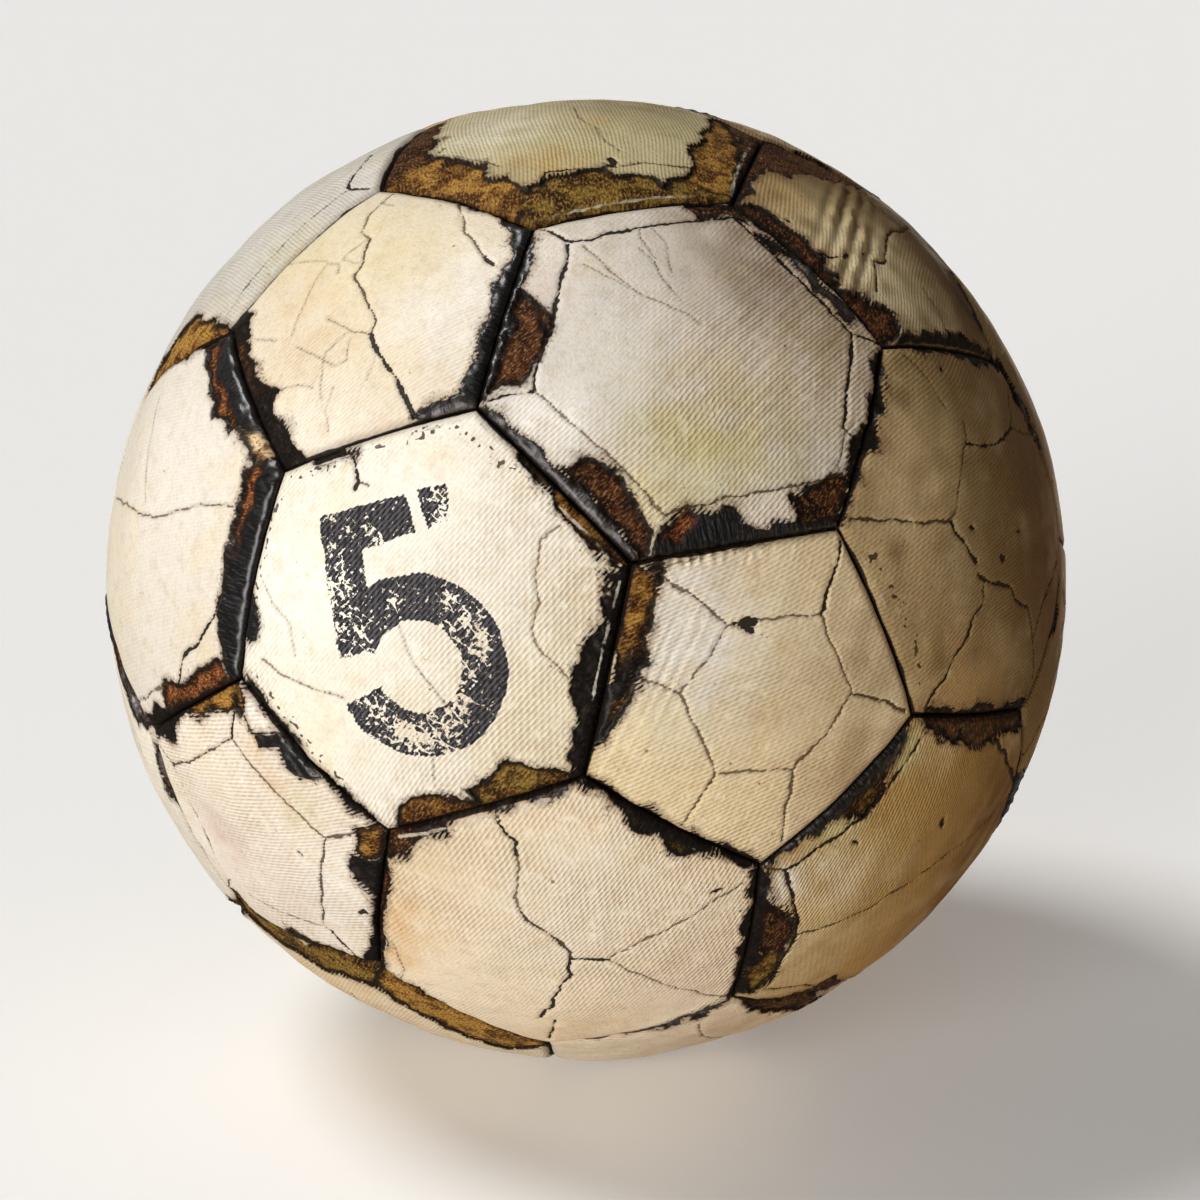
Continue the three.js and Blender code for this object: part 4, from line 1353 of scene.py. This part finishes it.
def paleLips(tree, at, surface):
    # Where the leather's rolled edge is rubbed.
    tone = blend(tree, between(tree, at["middle"], 0.38, 0.62), finish["dullest"], finish["palest"])
    tone = blend(tree, 0.4, tone, at["coatTint"])
    line = between(tree, shifted(tree, at["pale"], at["fine"], 0.6), 0.1, -0.1)
    line = part(tree, line, between(tree, at["seam"], 0.3, 0.5))
    line = part(tree, line, between(tree, noise(tree, at["place"], 4, 3, 0.6), 0.4, 0.56))
    return blend(tree, part(tree, line, 0.85), surface, tone)


def leatherHeight(tree, at):
    # In millimetres. Glossy rolls are creased across, from the seam outwards.
    creases = noise(tree, stretched(tree, at["sidePlace"], (1.0, 0.2, 1.0)), 0.75, 1)
    pores = between(tree, noise(tree, at["place"], 0.6, 0), 0.3, 0.5)
    coat = part(tree, pores, finish["grainHeight"])
    ribbed = part(tree, at["ridge"], at["embossed"])
    for value, height in ((ribbed, finish["ribHeight"]), (at["fine"], 0.05), (at["inCrack"], -0.16)):
        coat = maths(tree, "MULTIPLY_ADD", value, height, coat)
    bare = maths(tree, "MULTIPLY_ADD", at["fibres"], 0.3, part(tree, part(tree, creases, at["gloss"]), 1.6))
    height = mixed(tree, at["isBare"], coat, maths(tree, "SUBTRACT", bare, 0.25))
    return maths(tree, "MULTIPLY_ADD", at["dust"], 0.015, height)


def leatherMaterial():
    material, tree = startMaterial("worn_leather")
    at = leatherValues(tree)
    addWeave(tree, at)
    coat = painted(tree, at, scorched(tree, at, coatColour(tree, at)))
    surface = peeledBack(tree, at, coat, bareColour(tree, at))
    surface = paleLips(tree, at, dirtySeams(tree, at, cracked(tree, at, surface)))
    coatRough = maths(tree, "MULTIPLY_ADD", at["fine"], 0.2, finish["coatRoughness"] - 0.1)
    bareRough = maths(tree, "MULTIPLY_ADD", at["gloss"], -0.62, 0.92)
    relieved = add(tree, "Bump", {"Strength": 1.0, "Distance": mm, "Height": leatherHeight(tree, at)})
    shade(tree, {
        "Base Color": surface, "Roughness": mixed(tree, at["isBare"], coatRough, bareRough),
        "Normal": relieved.outputs[0], "Specular IOR Level": 0.12,
        "Coat Weight": part(tree, at["gloss"], at["isBare"]), "Coat Roughness": finish["varnishRoughness"],
    })
    return material


rubber = {
    "bladder": ((0.030, 0.024, 0.021), 0.62),
    "valve": ((0.016, 0.015, 0.015), 0.45),
    "bloom": (0.12, 0.10, 0.085),
}


def rubberMaterial(name, colour, roughness):
    material, tree = startMaterial(name)
    place = inMillimetres(tree)
    bloom = between(tree, noise(tree, place, 4, 4, 0.6), 0.45, 0.7)
    fine = noise(tree, place, 0.5, 3)
    pitted = add(tree, "Bump", {"Strength": 0.6, "Distance": 0.05 * mm, "Height": fine})
    shade(tree, {
        "Base Color": blend(tree, part(tree, bloom, 0.5), colour, rubber["bloom"]),
        "Roughness": maths(tree, "MULTIPLY_ADD", fine, 0.25, roughness - 0.1), "Normal": pitted.outputs[0],
    })
    return material


thread = {"dark": (0.06, 0.04, 0.02), "waxed": (0.22, 0.16, 0.09), "roughness": 0.7}


def threadMaterial():
    material, tree = startMaterial("waxed_thread")
    strands = noise(tree, inMillimetres(tree), 0.3, 3, 0.6)
    colours = blend(tree, between(tree, strands, 0.35, 0.7), thread["dark"], thread["waxed"])
    twisted = add(tree, "Bump", {"Strength": 0.8, "Distance": 0.1 * mm, "Height": strands})
    shade(tree, {"Base Color": colours, "Roughness": thread["roughness"], "Normal": twisted.outputs[0]})
    return material


def setMaterial(name, material):
    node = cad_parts[name]
    node.data.materials.clear()
    node.data.materials.append(material)


# In metres and degrees, with the lens in millimetres.
camera = {"distance": 0.7317, "elevation": 17.0, "lens": 94.6, "shift": (0.01125, -0.0175)}


def addCamera():
    data = bpy.data.cameras.new("view_camera")
    data.lens = camera["lens"]
    data.sensor_width = 36
    data.shift_x, data.shift_y = camera["shift"]
    viewer = bpy.data.objects.new("view_camera", data)
    bpy.context.collection.objects.link(viewer)
    rise = math.radians(camera["elevation"])
    viewer.location = camera["distance"] * Vector((0, -math.cos(rise), math.sin(rise)))
    viewer.rotation_euler = (math.pi / 2 - rise, 0, 0)
    bpy.context.scene.camera = viewer


studio = {
    "floorSide": 12.0,          # metres, as the radius is
    "floorColour": (0.95, 0.95, 0.95),
    "floorGlow": 0.15,
    "backdropRadius": 6.0,
    "backdropGlow": 0.81,
    "worldColour": (1.0, 0.95, 0.88),
    "worldStrength": 0.12,
    "lights": [
        # name, way towards it, how wide it looks in degrees, strength, colour
        ("front_light", (-0.57, -0.81, 0.12), 36, 2.3, (1.0, 0.985, 0.96)),
        ("high_light", (-0.52, 0.10, 0.85), 24, 1.75, (1.0, 0.99, 0.97)),
        ("low_light", (-0.45, -0.75, -0.48), 50, 1.15, (1.0, 0.93, 0.84)),
        ("back_light", (0.05, 0.97, -0.22), 30, 1.2, (1.0, 0.88, 0.70)),
        ("rim_light", (0.93, 0.22, -0.30), 20, 0.45, (1.0, 0.56, 0.20)),
    ],
}


def addSetPiece(name, shape, colour, glow):
    mesh = bpy.data.meshes.new(name)
    shape.to_mesh(mesh)
    shape.free()
    setPiece = bpy.data.objects.new(name, mesh)
    bpy.context.collection.objects.link(setPiece)
    material, tree = startMaterial(name)
    shade(tree, {
        "Base Color": (*colour, 1), "Roughness": 0.9, "Specular IOR Level": 0.0,
        "Emission Color": (1, 1, 1, 1), "Emission Strength": glow,
    })
    mesh.materials.append(material)
    setPiece.visible_diffuse = False        # the low light does its work
    setPiece.visible_glossy = False
    setPiece.visible_shadow = False


def addStudio():
    sheet = bmesh.new()
    bmesh.ops.create_grid(sheet, x_segments=1, y_segments=1, size=studio["floorSide"] / 2)
    bmesh.ops.translate(sheet, vec=(0, 0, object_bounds()[0][2]), verts=sheet.verts)
    addSetPiece("studio_floor", sheet, studio["floorColour"], studio["floorGlow"])
    dome = bmesh.new()
    bmesh.ops.create_uvsphere(dome, u_segments=48, v_segments=24, radius=studio["backdropRadius"])
    addSetPiece("studio_backdrop", dome, (0, 0, 0), studio["backdropGlow"])
    for name, way, wide, strength, colour in studio["lights"]:
        data = bpy.data.lights.new(name, "SUN")
        data.angle = math.radians(wide)
        data.energy = strength
        data.color = colour
        light = bpy.data.objects.new(name, data)
        bpy.context.collection.objects.link(light)
        light.rotation_euler = Vector(way).to_track_quat("Z", "Y").to_euler()
    world = bpy.data.worlds.new("studio")
    world.use_nodes = True
    world.node_tree.nodes["Background"].inputs[0].default_value = (*studio["worldColour"], 1)
    world.node_tree.nodes["Background"].inputs[1].default_value = studio["worldStrength"]
    bpy.context.scene.world = world
    bpy.context.scene.view_settings.view_transform = "Standard"


leather = leatherMaterial()
ballPattern = makePattern()
for index in range(len(ballPattern.faces)):
    made = makePanel(ballPattern, index, leather)
    print("panel made:", made.name, len(made.data.polygons))
ballPattern.free()

setMaterial("bladder", rubberMaterial("bladder_rubber", *rubber["bladder"]))
valveRubber = rubberMaterial("valve_rubber", *rubber["valve"])
setMaterial("valve_collar", valveRubber)
setMaterial("valve_stem", valveRubber)
setMaterial("stitching_thread", threadMaterial())
print("rubber and thread finished")

addCamera()
addStudio()
print("camera, floor and lights placed")
